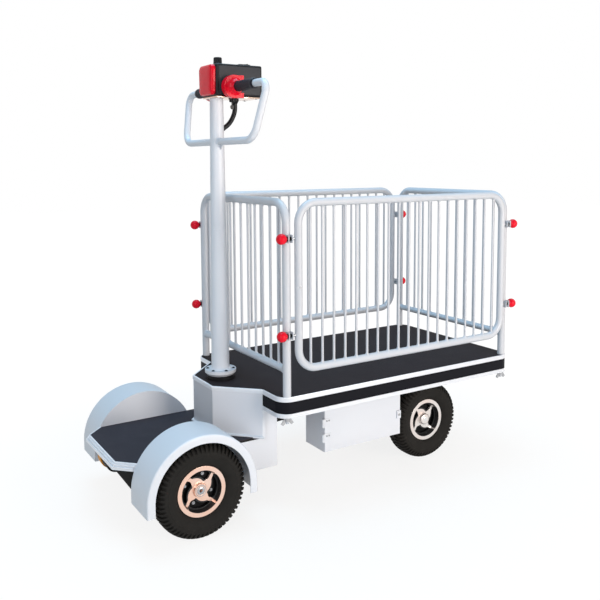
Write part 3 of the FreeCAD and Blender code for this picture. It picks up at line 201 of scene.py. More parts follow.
def grid(points, wrap_u=False, wrap_v=False, caps=False):
    """Quads over a table of points P(u, v). A direction may close on itself, and the rows at the
    two ends of u may each be closed by one flat face."""
    rows, columns = points.shape[:2]
    u, v = np.meshgrid(
        np.arange(rows if wrap_u else rows - 1), np.arange(columns if wrap_v else columns - 1),
        indexing="ij")
    u_next, v_next = (u + 1) % rows, (v + 1) % columns
    first, last = u * columns, u_next * columns
    quads = np.stack([first + v, last + v, last + v_next, first + v_next], -1)
    faces = quads.reshape(-1, 4).tolist()
    if caps:
        faces.append(list(range(columns - 1, -1, -1)))
        faces.append(list(range((rows - 1) * columns, rows * columns)))
    return points.reshape(-1, 3), faces


def joined(surfaces):
    """Many surfaces as one list of points and one of faces."""
    points, faces, count = [], [], 0
    for some_points, some_faces in surfaces:
        points.append(some_points)
        faces.extend([[corner + count for corner in face] for face in some_faces])
        count += len(some_points)
    return np.concatenate(points), faces


def repeated(surface, places):
    """The surface moved to each of the places."""
    points, faces = surface
    return joined([(points + np.asarray(place), faces) for place in places])


def rounded(points, bends, steps=8):
    """A route of straight runs whose inner corners are arcs. Each arc is turned from its first
    radius to its last, R(t) = (sin((1-t)w) A + sin(t w) B) / sin w, w being the turn."""
    points = np.asarray(points, float)
    parts = [points[:1]]
    for before, corner, after, bend in zip(points, points[1:], points[2:], bends):
        back, onward = unit(before - corner), unit(after - corner)
        half = math.acos(float(np.clip(back @ onward, -1, 1))) / 2
        if bend <= 0 or half > 1.57:
            parts.append(corner[None])
            continue
        centre = corner + unit(back + onward) * bend / math.sin(half)
        first = corner + back * bend / math.tan(half) - centre
        last = corner + onward * bend / math.tan(half) - centre
        turn = math.pi - 2 * half
        t = np.linspace(0, 1, steps + 1)[:, None]
        parts.append(
            centre + (np.sin((1 - t) * turn) * first + np.sin(t * turn) * last) / math.sin(turn))
    parts.append(points[-1:])
    return np.concatenate(parts)


def rounded_loop(points, bends, steps=8):
    """A closed outline with every corner rounded, started in the middle of its last side."""
    points = np.asarray(points, float)
    start = (points[0] + points[-1]) / 2
    bends = np.broadcast_to(bends, len(points))
    return rounded([start, *points, start], bends, steps)[:-1]


def headings(route, closed=False):
    """The direction at each point, half way between those of the runs before and after it."""
    runs = unit(np.roll(route, -1, 0) - route) if closed else unit(np.diff(route, axis=0))
    if closed:
        return unit(runs + np.roll(runs, 1, 0))
    return unit(np.concatenate([runs[:1], runs]) + np.concatenate([runs, runs[-1:]]))


def tube(route, radius, normal, sides=24, closed=False):
    """A round tube along a flat route: P(i, a) = route_i + r (cos a N_i + sin a B), where B is the
    normal of the route's plane and N_i lies across the route in that plane."""
    route = np.asarray(route, float)
    across = unit(np.asarray(normal, float))
    inward = np.cross(across, headings(route, closed))
    angle = np.linspace(0, 2 * np.pi, sides, endpoint=False)[None, :, None]
    ring = np.cos(angle) * inward[:, None] + np.sin(angle) * across
    return grid(route[:, None] + radius * ring, wrap_u=closed, wrap_v=True, caps=not closed)


# which of (first across, second across, along) gives x, y and z for an axis or a plane's normal
TURNS = {"x": (2, 0, 1), "y": (0, 2, 1), "z": (0, 1, 2)}


def turned(profile, centre, axis="z", sides=40, ring=False, way=1):
    """A profile of (radius, height) turned about an axis: P(a, k) = centre + r_k (cos a, sin a)
    across the axis + way x h_k along it. A ring's profile closes on itself."""
    radius, height = np.asarray(profile, float).T * [[1], [way]]
    angle = np.linspace(0, 2 * np.pi, sides, endpoint=False)[:, None]
    points = np.stack(
        [radius * np.cos(angle), radius * np.sin(angle), height + 0 * angle], -1)
    return grid(points[..., TURNS[axis]] + np.asarray(centre), wrap_u=True, wrap_v=ring)


def mitres(outline, closed, ends=None):
    """The step at each point of an outline that moves both its sides out by one: the sum of their
    normals over one plus the cosine between them. An open outline may be given its end steps."""
    runs = unit(np.roll(outline, -1, 0) - outline) if closed else unit(np.diff(outline, axis=0))
    normals = np.stack([runs[:, 1], -runs[:, 0]], -1)
    if closed:
        before, after = np.roll(normals, 1, 0), normals
    else:
        before = np.concatenate([normals[:1], normals])
        after = np.concatenate([normals, normals[-1:]])
    steps = (before + after) / (1 + np.sum(before * after, -1))[:, None]
    if ends is not None:
        steps[0], steps[-1] = ends
    return steps


def carried(outline, profile, plane="z", closed=True, ring=True, ends=None, caps=False):
    """A profile of (out, height) carried round an outline: P(k, i) = outline_i + out_k M_i, at
    height_k along the plane's normal, M_i being the mitre step."""
    outline = np.asarray(outline, float)
    out, height = np.asarray(profile, float).T
    steps = mitres(outline, closed, ends)
    flat = outline[None] + out[:, None, None] * steps[None]
    points = np.concatenate(
        [flat, np.broadcast_to(height[:, None, None], (*flat.shape[:2], 1))], -1)
    points = points[..., TURNS[plane]]
    if closed:
        return grid(points, wrap_u=ring, wrap_v=True, caps=caps)
    points = points.transpose(1, 0, 2)
    return grid(points, wrap_v=ring, caps=True)


def prism(outline, start, end, plane="z"):
    """A flat outline drawn out between two levels along the plane's normal."""
    return carried(outline, [(0, start), (0, end)], plane, ring=False, caps=True)


def flat_plate(corners, across):
    """A plate in any plane: its corners, and the same ones moved across its thickness."""
    count = len(corners)
    points = np.concatenate([corners, np.asarray(corners) + across])
    faces = [tuple(range(count)), tuple(range(2 * count - 1, count - 1, -1))]
    faces += [(k, (k + 1) % count, (k + 1) % count + count, k + count) for k in range(count)]
    return points, faces


def rectangle(u, v):
    """The corners of a rectangle between two pairs of levels."""
    return [(u[0], v[0]), (u[1], v[0]), (u[1], v[1]), (u[0], v[1])]


def rounded_box(u, v, bend, steps):
    """The outline of a rectangle with rounded corners, between two pairs of levels."""
    return rounded_loop(rectangle(u, v), bend, steps)


def slab(outline, start, end, radius, plane="z"):
    """A slab with rounded rims at both levels: the outline is drawn in along a quarter circle, by
    r (1 - cos t) at r (1 - sin t) below the face."""
    t = np.linspace(0, np.pi / 2, 5)
    curve = np.stack([radius * (1 - np.cos(t)), radius * (1 - np.sin(t))], -1)
    way = math.copysign(1, end - start)
    first = [(-inset, start + way * down) for inset, down in curve[::-1]]
    last = [(-inset, end - way * down) for inset, down in curve]
    return carried(outline, first + last, plane, ring=False, caps=True)


def screw(place, axis="z", way=1, radius=0.004, tall=0.003, socket=0.45):
    """A cap screw: a chamfered head with a round recess, turned about its axis."""
    hole = radius * socket
    profile = [
        (0, tall * 0.35), (hole, tall * 0.35), (hole, tall * 0.96), (hole + tall * 0.06, tall),
        (radius * 0.86, tall), (radius, tall * 0.8), (radius, -0.0005), (0, -0.0005)]
    return turned(profile, place, axis, 20, way=way)


def hex_screw(place, axis="z", way=1, radius=0.005, tall=0.0035):
    """A six-sided head on a round washer; the head's rim is chamfered."""
    head = np.array([(0, tall), (radius * 0.82, tall), (radius, tall * 0.78), (radius, 0), (0, 0)])
    washer = [
        (0, 0.001), (radius * 1.25, 0.001), (radius * 1.35, 0.0007), (radius * 1.35, -0.0005),
        (0, -0.0005)]
    head[:, 1] += 0.001
    return joined([turned(head, place, axis, 6, way=way), turned(washer, place, axis, 24, way=way)])


def weld_collar(radius, reach, axis="z", way=1, sink=0.0026):
    """A weld round a bar: the profile falls from the bar to the rail in a hollow curve."""
    profile = [
        (radius - 0.001, reach * 1.9), (radius + reach * 0.06, reach * 1.8),
        (radius + reach * 0.22, reach * 0.95), (radius + reach * 0.55, reach * 0.35),
        (radius + reach, -reach * 0.15), (radius + reach * 1.15, -sink), (radius - 0.001, -sink)]
    return turned(profile, (0, 0, 0), axis, 16, ring=True, way=way)


# ---------------------------------------------------------------- pieces

def settled(mesh):
    """Closes seams and poles, and turns the faces outwards."""
    work = bmesh.new()
    work.from_mesh(mesh)
    bmesh.ops.remove_doubles(work, verts=work.verts, dist=2e-6)
    bmesh.ops.dissolve_degenerate(work, dist=1e-7, edges=work.edges)
    bmesh.ops.recalc_face_normals(work, faces=work.faces)
    work.to_mesh(mesh)
    work.free()


def dressed(item, look, body, nodes=(), slot=None, bevel=0.0, angle=32.0, segments=2):
    """Gives a piece its shading, rounding, body and look. The look is a finish's name or a
    material. The slot is not used."""
    mesh = item.data
    mesh.shade_smooth()
    if bevel:
        modifier = item.modifiers.new("Edges", "BEVEL")
        modifier.width = bevel
        modifier.segments = segments
        modifier.limit_method = "ANGLE"
        modifier.angle_limit = math.radians(angle)
        modifier.harden_normals = True
        modifier.use_clamp_overlap = True
    mesh.set_sharp_from_angle(angle=math.radians(angle))
    mesh.materials.clear()
    mesh.materials.append(finish(look) if isinstance(look, str) else look)
    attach(item, body)
    if nodes:
        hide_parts(*nodes)


def piece(name, surfaces, look, body, **options):
    """One object made of surfaces."""
    points, faces = joined(surfaces)
    mesh = bpy.data.meshes.new(name)
    mesh.from_pydata(points.tolist(), [], faces)
    settled(mesh)
    item = bpy.data.objects.new(name, mesh)
    bpy.context.scene.collection.objects.link(item)
    dressed(item, look, body, **options)


def softened(name, node, look, body, bevel, **options):
    """A copy of a CAD piece with its edges rounded, in place of the plain one."""
    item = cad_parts[node].copy()
    item.data = item.data.copy()
    item.name = item.data.name = name
    bpy.context.scene.collection.objects.link(item)
    work = bmesh.new()
    work.from_mesh(item.data)
    bmesh.ops.remove_doubles(work, verts=work.verts, dist=1e-5)
    bmesh.ops.dissolve_limit(
        work, angle_limit=math.radians(0.5), verts=work.verts, edges=work.edges)
    work.to_mesh(item.data)
    work.free()
    dressed(item, look, body, nodes=[node], bevel=bevel, **options)


def refinished(node, look):
    """Gives a CAD piece that stays a better material."""
    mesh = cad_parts[node].data
    mesh.materials.clear()
    mesh.materials.append(finish(look))


# ---------------------------------------------------------------- materials

class Value:
    """A socket of a material, on which arithmetic adds Math nodes."""

    def __init__(self, maker, socket):
        self.maker = maker
        self.socket = socket

    def __add__(self, other):
        return self.maker.math("ADD", self, other)

    def __sub__(self, other):
        return self.maker.math("SUBTRACT", self, other)

    def __mul__(self, other):
        return self.maker.math("MULTIPLY", self, other)

    def __truediv__(self, other):
        return self.maker.math("DIVIDE", self, other)

    def __rsub__(self, other):
        return self.maker.math("SUBTRACT", other, self)

    def __rtruediv__(self, other):
        return self.maker.math("DIVIDE", other, self)

    __radd__ = __add__
    __rmul__ = __mul__


class Maker:
    """Builds the nodes of one material."""

    def __init__(self, tree):
        self.tree = tree
        tree.nodes.clear()

    def node(self, kind, settings=None, inputs=None, out=0):
        """Adds a node, with its settings first and then the values or links of its sockets."""
        item = self.tree.nodes.new(kind)
        for key, value in (settings or {}).items():
            if key == "stops":
                self.set_stops(item.color_ramp, value)
            else:
                setattr(item, key, value)
        for key, value in (inputs or {}).items():
            if isinstance(value, Value):
                self.tree.links.new(value.socket, item.inputs[key])
            elif isinstance(value, tuple) and len(value) == 3 and item.inputs[key].type == "RGBA":
                item.inputs[key].default_value = (*value, 1.0)
            else:
                item.inputs[key].default_value = value
        return Value(self, item.outputs[out]) if item.outputs else item

    @staticmethod
    def set_stops(ramp, stops):
        """Gives a ramp its grey stops, each as (place, level)."""
        while len(ramp.elements) < len(stops):
            ramp.elements.new(1.0)
        for element, (place, level) in zip(ramp.elements, stops):
            element.position = place
            element.color = (level, level, level, 1.0)

    def math(self, operation, first, second=0.0):
        return self.node("ShaderNodeMath", {"operation": operation}, {0: first, 1: second})

    def place(self):
        """Where a point lies on the piece, in metres."""
        return self.node("ShaderNodeTexCoord", out="Object")

    def scaled(self, vector, factors):
        return self.node(
            "ShaderNodeVectorMath", {"operation": "MULTIPLY"}, {0: vector, 1: factors})

    def noise(self, vector, scale, detail=2.0, rough=0.5):
        return self.node(
            "ShaderNodeTexNoise", {"noise_dimensions": "3D"},
            {"Vector": vector, "Scale": scale, "Detail": detail, "Roughness": rough})

    def part(self, vector, axis):
        """One coordinate of a vector."""
        return self.node("ShaderNodeSeparateXYZ", None, {0: vector}, out="XYZ".index(axis))

    def ramp(self, value, *stops):
        return self.node("ShaderNodeValToRGB", {"stops": stops}, {0: value})

    def blend(self, factor, first, second):
        """One colour over another."""
        return self.node(
            "ShaderNodeMix", {"data_type": "RGBA", "clamp_factor": True},
            {0: factor, 6: first, 7: second}, out=2)

    def tones(self, factor, rgb, dark, light):
        """A colour that runs between a darker and a lighter tone of itself."""
        return self.blend(factor, shade(rgb, dark), shade(rgb, light))

    def bump(self, height, distance):
        return self.node(
            "ShaderNodeBump", None, {"Height": height, "Distance": distance, "Strength": 1.0})

    def surface(self, **inputs):
        """The closing shader; underscores stand for the spaces in its sockets' names."""
        named = {key.replace("_", " "): value for key, value in inputs.items()}
        shader = self.node("ShaderNodeBsdfPrincipled", None, named)
        self.node("ShaderNodeOutputMaterial", None, {"Surface": shader})


def blank(title):
    """A new material, and the maker of its nodes."""
    material = bpy.data.materials.new(title)
    material.use_nodes = True
    return material, Maker(material.node_tree)


def shade(rgb, factor):
    """A colour made darker or lighter."""
    return tuple(min(1.0, channel * factor) for channel in rgb)


def painted(maker, rgb):
    """Gloss powder coat: faint clouds and fine orange peel, and a painted shade where it is seen
    edge on, in place of dark surroundings reflected at the edges.
    """
    place = maker.place()
    clouds = maker.noise(place, 5.0, 3.0)
    peel = maker.noise(place, 420.0, 1.0)
    speck = maker.ramp(maker.noise(place, 2600.0, 0.0), (0.70, 0.0), (0.78, 1.0))
    tint = maker.tones(clouds, rgb, 0.955, 1.03)
    # painted shade: darker towards edges seen edge on, standing in for reflected dark surroundings
    painted_edge_shade = maker.node("ShaderNodeLayerWeight", None, {"Blend": 0.5}, out=1)
    tint = maker.blend(maker.ramp(painted_edge_shade, (0.35, 0.0), (0.95, 1.0)) * 0.5, tint, shade(rgb, 0.45))
    maker.surface(
        Base_Color=maker.blend(speck * 0.15, tint, shade(rgb, 0.7)),
        Roughness=0.3 + clouds * 0.12, Normal=maker.bump(peel, 0.00006),
        Specular_IOR_Level=0.42)


def extruded(maker, rgb):
    """Extruded aluminium: fine draw lines along the bar, which run level round the deck."""
    place = maker.place()
    lines = maker.noise(maker.scaled(place, (2.0, 2.0, 900.0)), 1.0, 3.0, 0.7)
    smudge = maker.noise(place, 14.0, 2.0)
    maker.surface(
        Base_Color=maker.tones(lines, rgb, 0.86, 1.06), Metallic=0.35,
        Roughness=0.3 + smudge * 0.14, Normal=maker.bump(lines, 0.00008))


def deck_rubber(maker, rgb):
    """Matt rubber with a fine pebbled skin and a little dust."""
    place = maker.place()
    pebble = maker.noise(place, 620.0, 2.0, 0.6)
    dust = maker.ramp(maker.noise(place, 9.0, 5.0, 0.6), (0.45, 0.0), (0.75, 1.0))
    maker.surface(
        Base_Color=maker.blend(dust * 0.3, maker.tones(pebble, rgb, 0.8, 1.15), shade(rgb, 1.5)),
        Roughness=0.6 + pebble * 0.2, Normal=maker.bump(pebble, 0.0003), Specular_IOR_Level=0.05)


def band_rubber(maker, rgb):
    """Smooth black rubber strip with a slight sheen."""
    place = maker.place()
    streaks = maker.noise(maker.scaled(place, (6.0, 6.0, 240.0)), 1.0, 3.0)
    maker.surface(
        Base_Color=maker.tones(streaks, rgb, 0.8, 1.2),
        Roughness=0.42 + streaks * 0.14, Normal=maker.bump(streaks, 0.00015),
        Specular_IOR_Level=0.08)


def tyre_rubber(maker, rgb):
    """Dull tyre rubber, greyer where dust has settled, with a fine grain."""
    place = maker.place()
    grain = maker.noise(place, 900.0, 2.0)
    dust = maker.noise(place, 26.0, 4.0, 0.65)
    maker.surface(
        Base_Color=maker.tones(maker.ramp(dust, (0.35, 0.0), (0.7, 1.0)) * 0.6, rgb, 0.8, 1.35),
        Roughness=0.6 + dust * 0.25, Normal=maker.bump(grain, 0.0002), Specular_IOR_Level=0.12)


WINDOW_PITCH = 90.0  # between a rim's openings, in degrees
RECESS_START = 14.0  # how far before an opening its black recess starts, in degrees
RECESS_SPAN = 85.0   # how long the recess is, in degrees
RECESS_IN = 0.0252   # the recess's inner radius at its wide end
RECESS_EDGE = (      # the lines whose outermost is its inner edge: degrees, rise per degree, level
    (10.0, -0.0010, 0.0), (20.0, 0.00031, 0.0), (74.0, 0.00150, 0.0175))
LIP_IN = 0.0607      # the lip's inner radius
# black paint in the rims' recesses that also stands in for the shade in and round the openings
RECESS_BLACK_AND_SHADE = srgb(12, 12, 13)


def window_share(maker, place, centre, side, turn):
    """One inside the black recess round each opening: a comma between the lip and an edge that runs
    outwards along it, by the radius and the angle about the axle. The black is recess paint and
    also painted shade in and round the openings and on the barrel's inner wall."""
    across = maker.node(
        "ShaderNodeVectorMath", {"operation": "SUBTRACT"}, {0: place, 1: tuple(centre)})
    x, z = maker.part(across, "X") * -side, maker.part(across, "Z")
    radius = maker.math("SQRT", x * x + z * z)
    degrees = maker.math("ARCTAN2", z, x) * (180 / math.pi) - (turn - RECESS_START)
    along = maker.math("FLOORED_MODULO", degrees, WINDOW_PITCH)
    inner = 0.0
    for start, rise, level in RECESS_EDGE:
        inner = maker.math("MAXIMUM", inner, (along - start) * rise + level)
    beside = maker.math("LESS_THAN", along, RECESS_SPAN)
    outside = maker.math("GREATER_THAN", radius, inner + RECESS_IN)
    inside = maker.math("LESS_THAN", radius, LIP_IN)
    return beside * outside * inside


BARE_CASTING = srgb(226, 222, 219)
BARE_SHARES = {"rear": -0.05, "front": 0.68}  # how much of the bare casting's colour a rim has


def cast(maker, rgb, bare, centre, side, turn):
    """Machined cast aluminium, faintly grained, with black in the recesses beside the openings,
    which is partly paint and partly painted shade of the openings and the barrel's inner wall."""
    place = maker.place()
    grain = maker.noise(place, 760.0, 3.0, 0.6)
    clouds = maker.noise(place, 16.0, 1.0)
    # the recess black: partly paint, partly painted shade of the openings
    black = window_share(maker, place, centre, side, turn)
    silver = maker.ramp(clouds, (0.3, 0.0), (0.7, 1.0)) * 0.35 + bare
    metal = maker.blend(silver, rgb, BARE_CASTING)
    maker.surface(
        Base_Color=maker.blend(black, metal, RECESS_BLACK_AND_SHADE), Metallic=0.85 - black * 0.85,
        Roughness=0.24 + grain * 0.1 + black * 0.2, Normal=maker.bump(grain, 0.00003))


def rim_finish(end, hand, side, turn):
    """The material of one rim, centred on its own axle."""
    material, maker = blank("cast_rim_%s_%s" % (end, hand))
    centre = middle("%s_tyre_%s" % (end, hand))
    cast(maker, tuple(colours().rim), BARE_SHARES[end], centre, side, turn)
    return material


def chromed(maker, rgb):
    """Bright plating with the faintest wiping marks."""
    marks = maker.noise(maker.scaled(maker.place(), (60.0, 60.0, 500.0)), 1.0, 2.0)
    maker.surface(
        Base_Color=maker.blend(marks, shade(rgb, 0.9), rgb), Metallic=1.0,
        Roughness=0.07 + marks * 0.08)


def plated(maker, rgb):
    """Zinc plating: a mottled grain of small crystals and fine scratches."""
    place = maker.place()
    cells = maker.node("ShaderNodeTexVoronoi", None, {"Vector": place, "Scale": 520.0})
    fine = maker.noise(place, 240.0, 4.0)
    maker.surface(
        Base_Color=maker.tones(cells, rgb, 0.82, 1.1), Metallic=0.9,
        Roughness=0.24 + fine * 0.18, Normal=maker.bump(fine, 0.00006))


def gloss_plastic(maker, rgb):
    """Glossy moulded plastic with a trace of flow marks."""
    place = maker.place()
    flow = maker.noise(maker.scaled(place, (40.0, 18.0, 70.0)), 1.0, 2.0)
    fine = maker.noise(place, 500.0, 1.0)
    maker.surface(
        Base_Color=maker.tones(flow, rgb, 0.88, 1.06),
        Roughness=0.2 + flow * 0.1, Normal=maker.bump(fine, 0.00003),
        Specular_IOR_Level=0.18)


def grained_plastic(maker, rgb):
    """Moulded plastic with the fine spark-eroded grain of a housing."""
    place = maker.place()
    grain = maker.noise(place, 1500.0, 2.0)
    clouds = maker.noise(place, 20.0, 2.0)
    maker.surface(
        Base_Color=maker.tones(clouds, rgb, 0.88, 1.12),
        Roughness=0.36 + grain * 0.18, Normal=maker.bump(grain, 0.00012),
        Specular_IOR_Level=0.2)


def dark_paint(maker, rgb):
    """Black paint on rough steel, with dust lying on it."""
    place = maker.place()
    dust = maker.noise(place, 18.0, 4.0, 0.6)
    rough = maker.noise(place, 380.0, 2.0)
    maker.surface(
        Base_Color=maker.blend(maker.ramp(dust, (0.4, 0.0), (0.75, 1.0)) * 0.5, rgb,
                               shade(rgb, 1.9)),
        Roughness=0.42 + dust * 0.25, Normal=maker.bump(rough, 0.00012),
        Specular_IOR_Level=0.15)


def shaded_cage_paint(maker, rgb):
    """The same powder coat painted darker for the cage's tubes: a painted shade, as they wear the
    same paint as the rest.
    """
    painted(maker, shade(rgb, 0.82))


FINISHES = {  # each one's recipe, its colour or the setting that holds it, and its slot
    "painted_steel": (painted, "paint", "painted_white"),
    # the cage's tubes get a darker copy of the same paint, as painted shade
    "cage_steel": (shaded_cage_paint, "paint", "painted_white"),
    "extruded_aluminium": (extruded, "profile", "edge_aluminium"),
    "deck_mat_rubber": (deck_rubber, "mat", "mat_rubber"),
    "platform_mat_rubber": (deck_rubber, "platform", "mat_rubber"),
    "edge_band_rubber": (band_rubber, "band", "mat_rubber"),
    "tyre_rubber": (tyre_rubber, "tyre", "tyre_rubber"),
    "bright_plating": (chromed, (0.86, 0.84, 0.82), "zinc_steel"),
    "brown_plating": (chromed, srgb(214, 186, 166), "zinc_steel"),
    "zinc_plating": (plated, "zinc", "zinc_steel"),
    "red_plastic": (gloss_plastic, "red", "red_plastic"),
    "black_gloss": (gloss_plastic, "black", "black_plastic"),
    "black_plastic": (grained_plastic, "black", "black_plastic"),
    "housing_plastic": (grained_plastic, "housing", "black_plastic"),
    "grip_rubber": (grained_plastic, "grip", "grip_rubber"),
    "end_bell_plating": (grained_plastic, "bell", "plated_bell"),
    "dark_steel": (dark_paint, "dark", "dark_steel"),
    # grey of the bearing seat, also used as painted shade for the recesses round the flange screws
    "seat_steel": (dark_paint, srgb(150, 151, 156), "dark_steel"),
    # a hub plate, coloured near black to also paint in the shade behind the rims' openings
    "rim_backing": (dark_paint, srgb(9, 9, 10), "rim_cast"),
}


def finish(name):
    """The material of one finish, made the first time that it is asked for."""
    title = "cart_" + name
    if title in bpy.data.materials:
        return bpy.data.materials[title]
    recipe, rgb, _ = FINISHES[name]
    if isinstance(rgb, str):
        rgb = getattr(colours(), rgb)
    material, maker = blank(title)
    recipe(maker, tuple(rgb))
    return material


# ---------------------------------------------------------------- stage

def backdrop_share(maker, level):
    """How much of a surface shows as plain white: only to the camera and in reflections."""
    rays = maker.tree.nodes.new("ShaderNodeLightPath")
    seen = Value(maker, rays.outputs["Is Camera Ray"])
    for kind in ("Is Glossy Ray", "Is Transmission Ray"):
        seen = maker.math("MAXIMUM", seen, Value(maker, rays.outputs[kind]))
    return seen * level


FLOOR_HALF = 14.0
FADE_REACH = 4.0  # the distance that the floor's fade is measured by


def floor_material():
    """Pale floor that keeps the shadow near the cart and fades to white away from it."""
    material, maker = blank("studio_floor")
    away = maker.node(
        "ShaderNodeVectorMath", {"operation": "LENGTH"}, {0: maker.place()}, out="Value")
    fade = maker.ramp(away / FADE_REACH, (0.10, 0.80), (0.40, 1.0))
    pale = maker.node("ShaderNodeBsdfDiffuse", None, {"Color": (0.88, 0.84, 0.79)})
    white = maker.node("ShaderNodeEmission", None, {"Color": (1.0, 1.0, 1.0), "Strength": 1.04})
    both = maker.node(
        "ShaderNodeMixShader", None, {0: backdrop_share(maker, fade), 1: pale, 2: white})
    maker.node("ShaderNodeOutputMaterial", None, {"Surface": both})
    return material


def set_world(level):
    """Even light from all round, seen as white."""
    world = bpy.data.worlds.new("studio")
    bpy.context.scene.world = world
    world.use_nodes = True
    maker = Maker(world.node_tree)
    room = maker.node("ShaderNodeBackground", None, {"Color": (1.0, 0.98, 0.96), "Strength": level})
    white = maker.node("ShaderNodeBackground", None, {"Color": (1.0, 1.0, 1.0), "Strength": 1.0})
    both = maker.node(
        "ShaderNodeMixShader", None, {0: backdrop_share(maker, 1.0), 1: room, 2: white})
    maker.node("ShaderNodeOutputWorld", None, {"Surface": both})


def lamp(name, place, target, wide, tall, power, tint):
    """A flat lamp that faces its target."""
    light = bpy.data.lights.new(name, "AREA")
    light.shape = "RECTANGLE"
    light.size, light.size_y = wide, tall
    light.energy = power
    light.color = tint
    item = bpy.data.objects.new(name, light)
    item.location = place
    item.rotation_euler = (Vector(target) - Vector(place)).to_track_quat("-Z", "Y").to_euler()
    bpy.context.scene.collection.objects.link(item)


CAMERA_PLACE = (-1.3258, -2.1179, 1.0531)
CAMERA_YAW = 31.99      # from straight across towards the cargo end, in degrees
CAMERA_PITCH = 5.25     # downwards
CAMERA_ROLL = -0.29
CAMERA_LENS = 44.33     # in millimetres, on a sensor 36 wide
CAMERA_SENSOR = 36.0
CAMERA_SHIFT = -0.1153


def set_camera():
    """A camera at a standing person's chest, turned from straight across towards the cargo end."""
    data = bpy.data.cameras.new("camera")
    data.lens = CAMERA_LENS
    data.sensor_width = CAMERA_SENSOR
    data.shift_y = CAMERA_SHIFT
    item = bpy.data.objects.new("camera", data)
    yaw, pitch = math.radians(CAMERA_YAW), math.radians(CAMERA_PITCH)
    ahead = Vector((
        math.sin(yaw) * math.cos(pitch), math.cos(yaw) * math.cos(pitch), -math.sin(pitch)))
    item.location = CAMERA_PLACE
    turn = ahead.to_track_quat("-Z", "Y") @ Quaternion((0, 0, 1), math.radians(CAMERA_ROLL))
    item.rotation_euler = turn.to_euler()
    bpy.context.scene.collection.objects.link(item)
    bpy.context.scene.camera = item


class CART_OT_stage(bpy.types.Operator):
    """Floor, lamps, surroundings and camera"""

    bl_idname = "cart.stage"
    bl_label = "Stage"

    def execute(self, context):
        light = context.scene.cart_light
        mesh = bpy.data.meshes.new("floor")
        level = (-FLOOR_HALF, FLOOR_HALF)
        corners = [(x, y, 0) for x, y in rectangle(level, level)]
        mesh.from_pydata(corners, [], [(0, 1, 2, 3)])
        mesh.materials.append(floor_material())
        floor = bpy.data.objects.new("floor", mesh)
        context.scene.collection.objects.link(floor)
        set_world(light.room)
        lamp("key", (1.0, -3.6, 1.0), (0, 0, 0.5), 1.6, 1.6, light.key, (1.0, 0.93, 0.86))
        lamp("side", (-2.9, -2.3, 1.9), (0, 0, 0.5), 1.4, 2.2, light.side, (0.86, 0.93, 1.0))
        lamp("top", (-0.2, 0.3, 3.6), (0, 0, 0.4), 2.4, 2.0, light.top, (0.34, 0.71, 1.0))
        set_camera()
        context.scene.view_settings.view_transform = "Standard"
        return {"FINISHED"}


# ---------------------------------------------------------------- cage

GATE_BARS = 19
PANEL_BARS = 11
JOINT_ASIDE = 0.020   # how far the loop's joint ring lies from the middle of the bottom rail
RAIL_RADIUS = 0.011
BRACKET_HALF = 0.008
BRACKET_TALL = 0.024
BRACKET_WALL = 0.003
BRACKET_IN = 0.005    # how far outside the posts' middles a bracket starts
BRACKET_OUT = 0.009   # how far outside the gates' middles it ends
KNOB_RADIUS = 0.016
KNOB_REACH = 0.027    # from the post's middle to the ball's
KNOB_NECK = 0.0072    # the ball's radius where it meets its neck
ROD_RADIUS = 0.004
SPRING_COILS = 5
SPRING_RADIUS = 0.0046
SPRING_WIRE = 0.0016
SPRING_GAP = 0.0002   # between the spring's ends and the bracket's ears
LOWER_TIP = 0.030     # how far a lower bolt's rod reaches past the post's middle, into its gate
UPPER_TIP = 0.0175    # and an upper one's, which is drawn back


def bars(places, across, foot, head):
    """Upright bars at the places (x, y) between two rails, each rail as (level, radius), with a
    weld at either end."""
    weld = sizes().weld
    bar = tube([(0, 0, foot[0]), (0, 0, head[0])], BAR_RADIUS, across, 16)
    return [
        repeated(bar, [(x, y, 0) for x, y in places]),
        repeated(weld_collar(BAR_RADIUS, weld), [(x, y, sum(foot)) for x, y in places]),
        repeated(weld_collar(BAR_RADIUS, weld, way=-1),
                 [(x, y, head[0] - head[1]) for x, y in places])]


def gate_surfaces(node):
    """A closed loop of tube with bars between its rails, welds round them and one joint ring."""
    lo, hi = low(node), high(node)
    radius = half_width(node, 1)
    y = (hi[1] + lo[1]) / 2
    left, right, bottom, top = lo[0] + radius, hi[0] - radius, lo[2] + radius, hi[2] - radius
    half_way = (left + right) / 2
    corners = [(right, y, bottom), (right, y, top), (left, y, top), (left, y, bottom)]
    start = (half_way, y, bottom)
    loop = rounded([start, *corners, start], [TUBE_BEND] * 4, 12)[:-1]
    xs = left + (right - left) * np.arange(1, GATE_BARS + 1) / (GATE_BARS + 1)
    joint = [(radius - 0.001, -0.0022), (radius + 0.0003, -0.0018), (radius + 0.0007, 0),
             (radius + 0.0003, 0.0018), (radius - 0.001, 0.0022)]
    return [
        tube(loop, radius, (0, 1, 0), 28, closed=True),
        *bars([(x, y) for x in xs], (0, 1, 0), (bottom, radius), (top, radius)),
        turned(joint, (half_way + JOINT_ASIDE, y, bottom), "x", 28, ring=True),
    ]


def bolt_levels():
    """The heights of the lower and the upper bolts."""
    return low("bolt_knobs")[2] + KNOB_RADIUS, high("bolt_knobs")[2] - KNOB_RADIUS


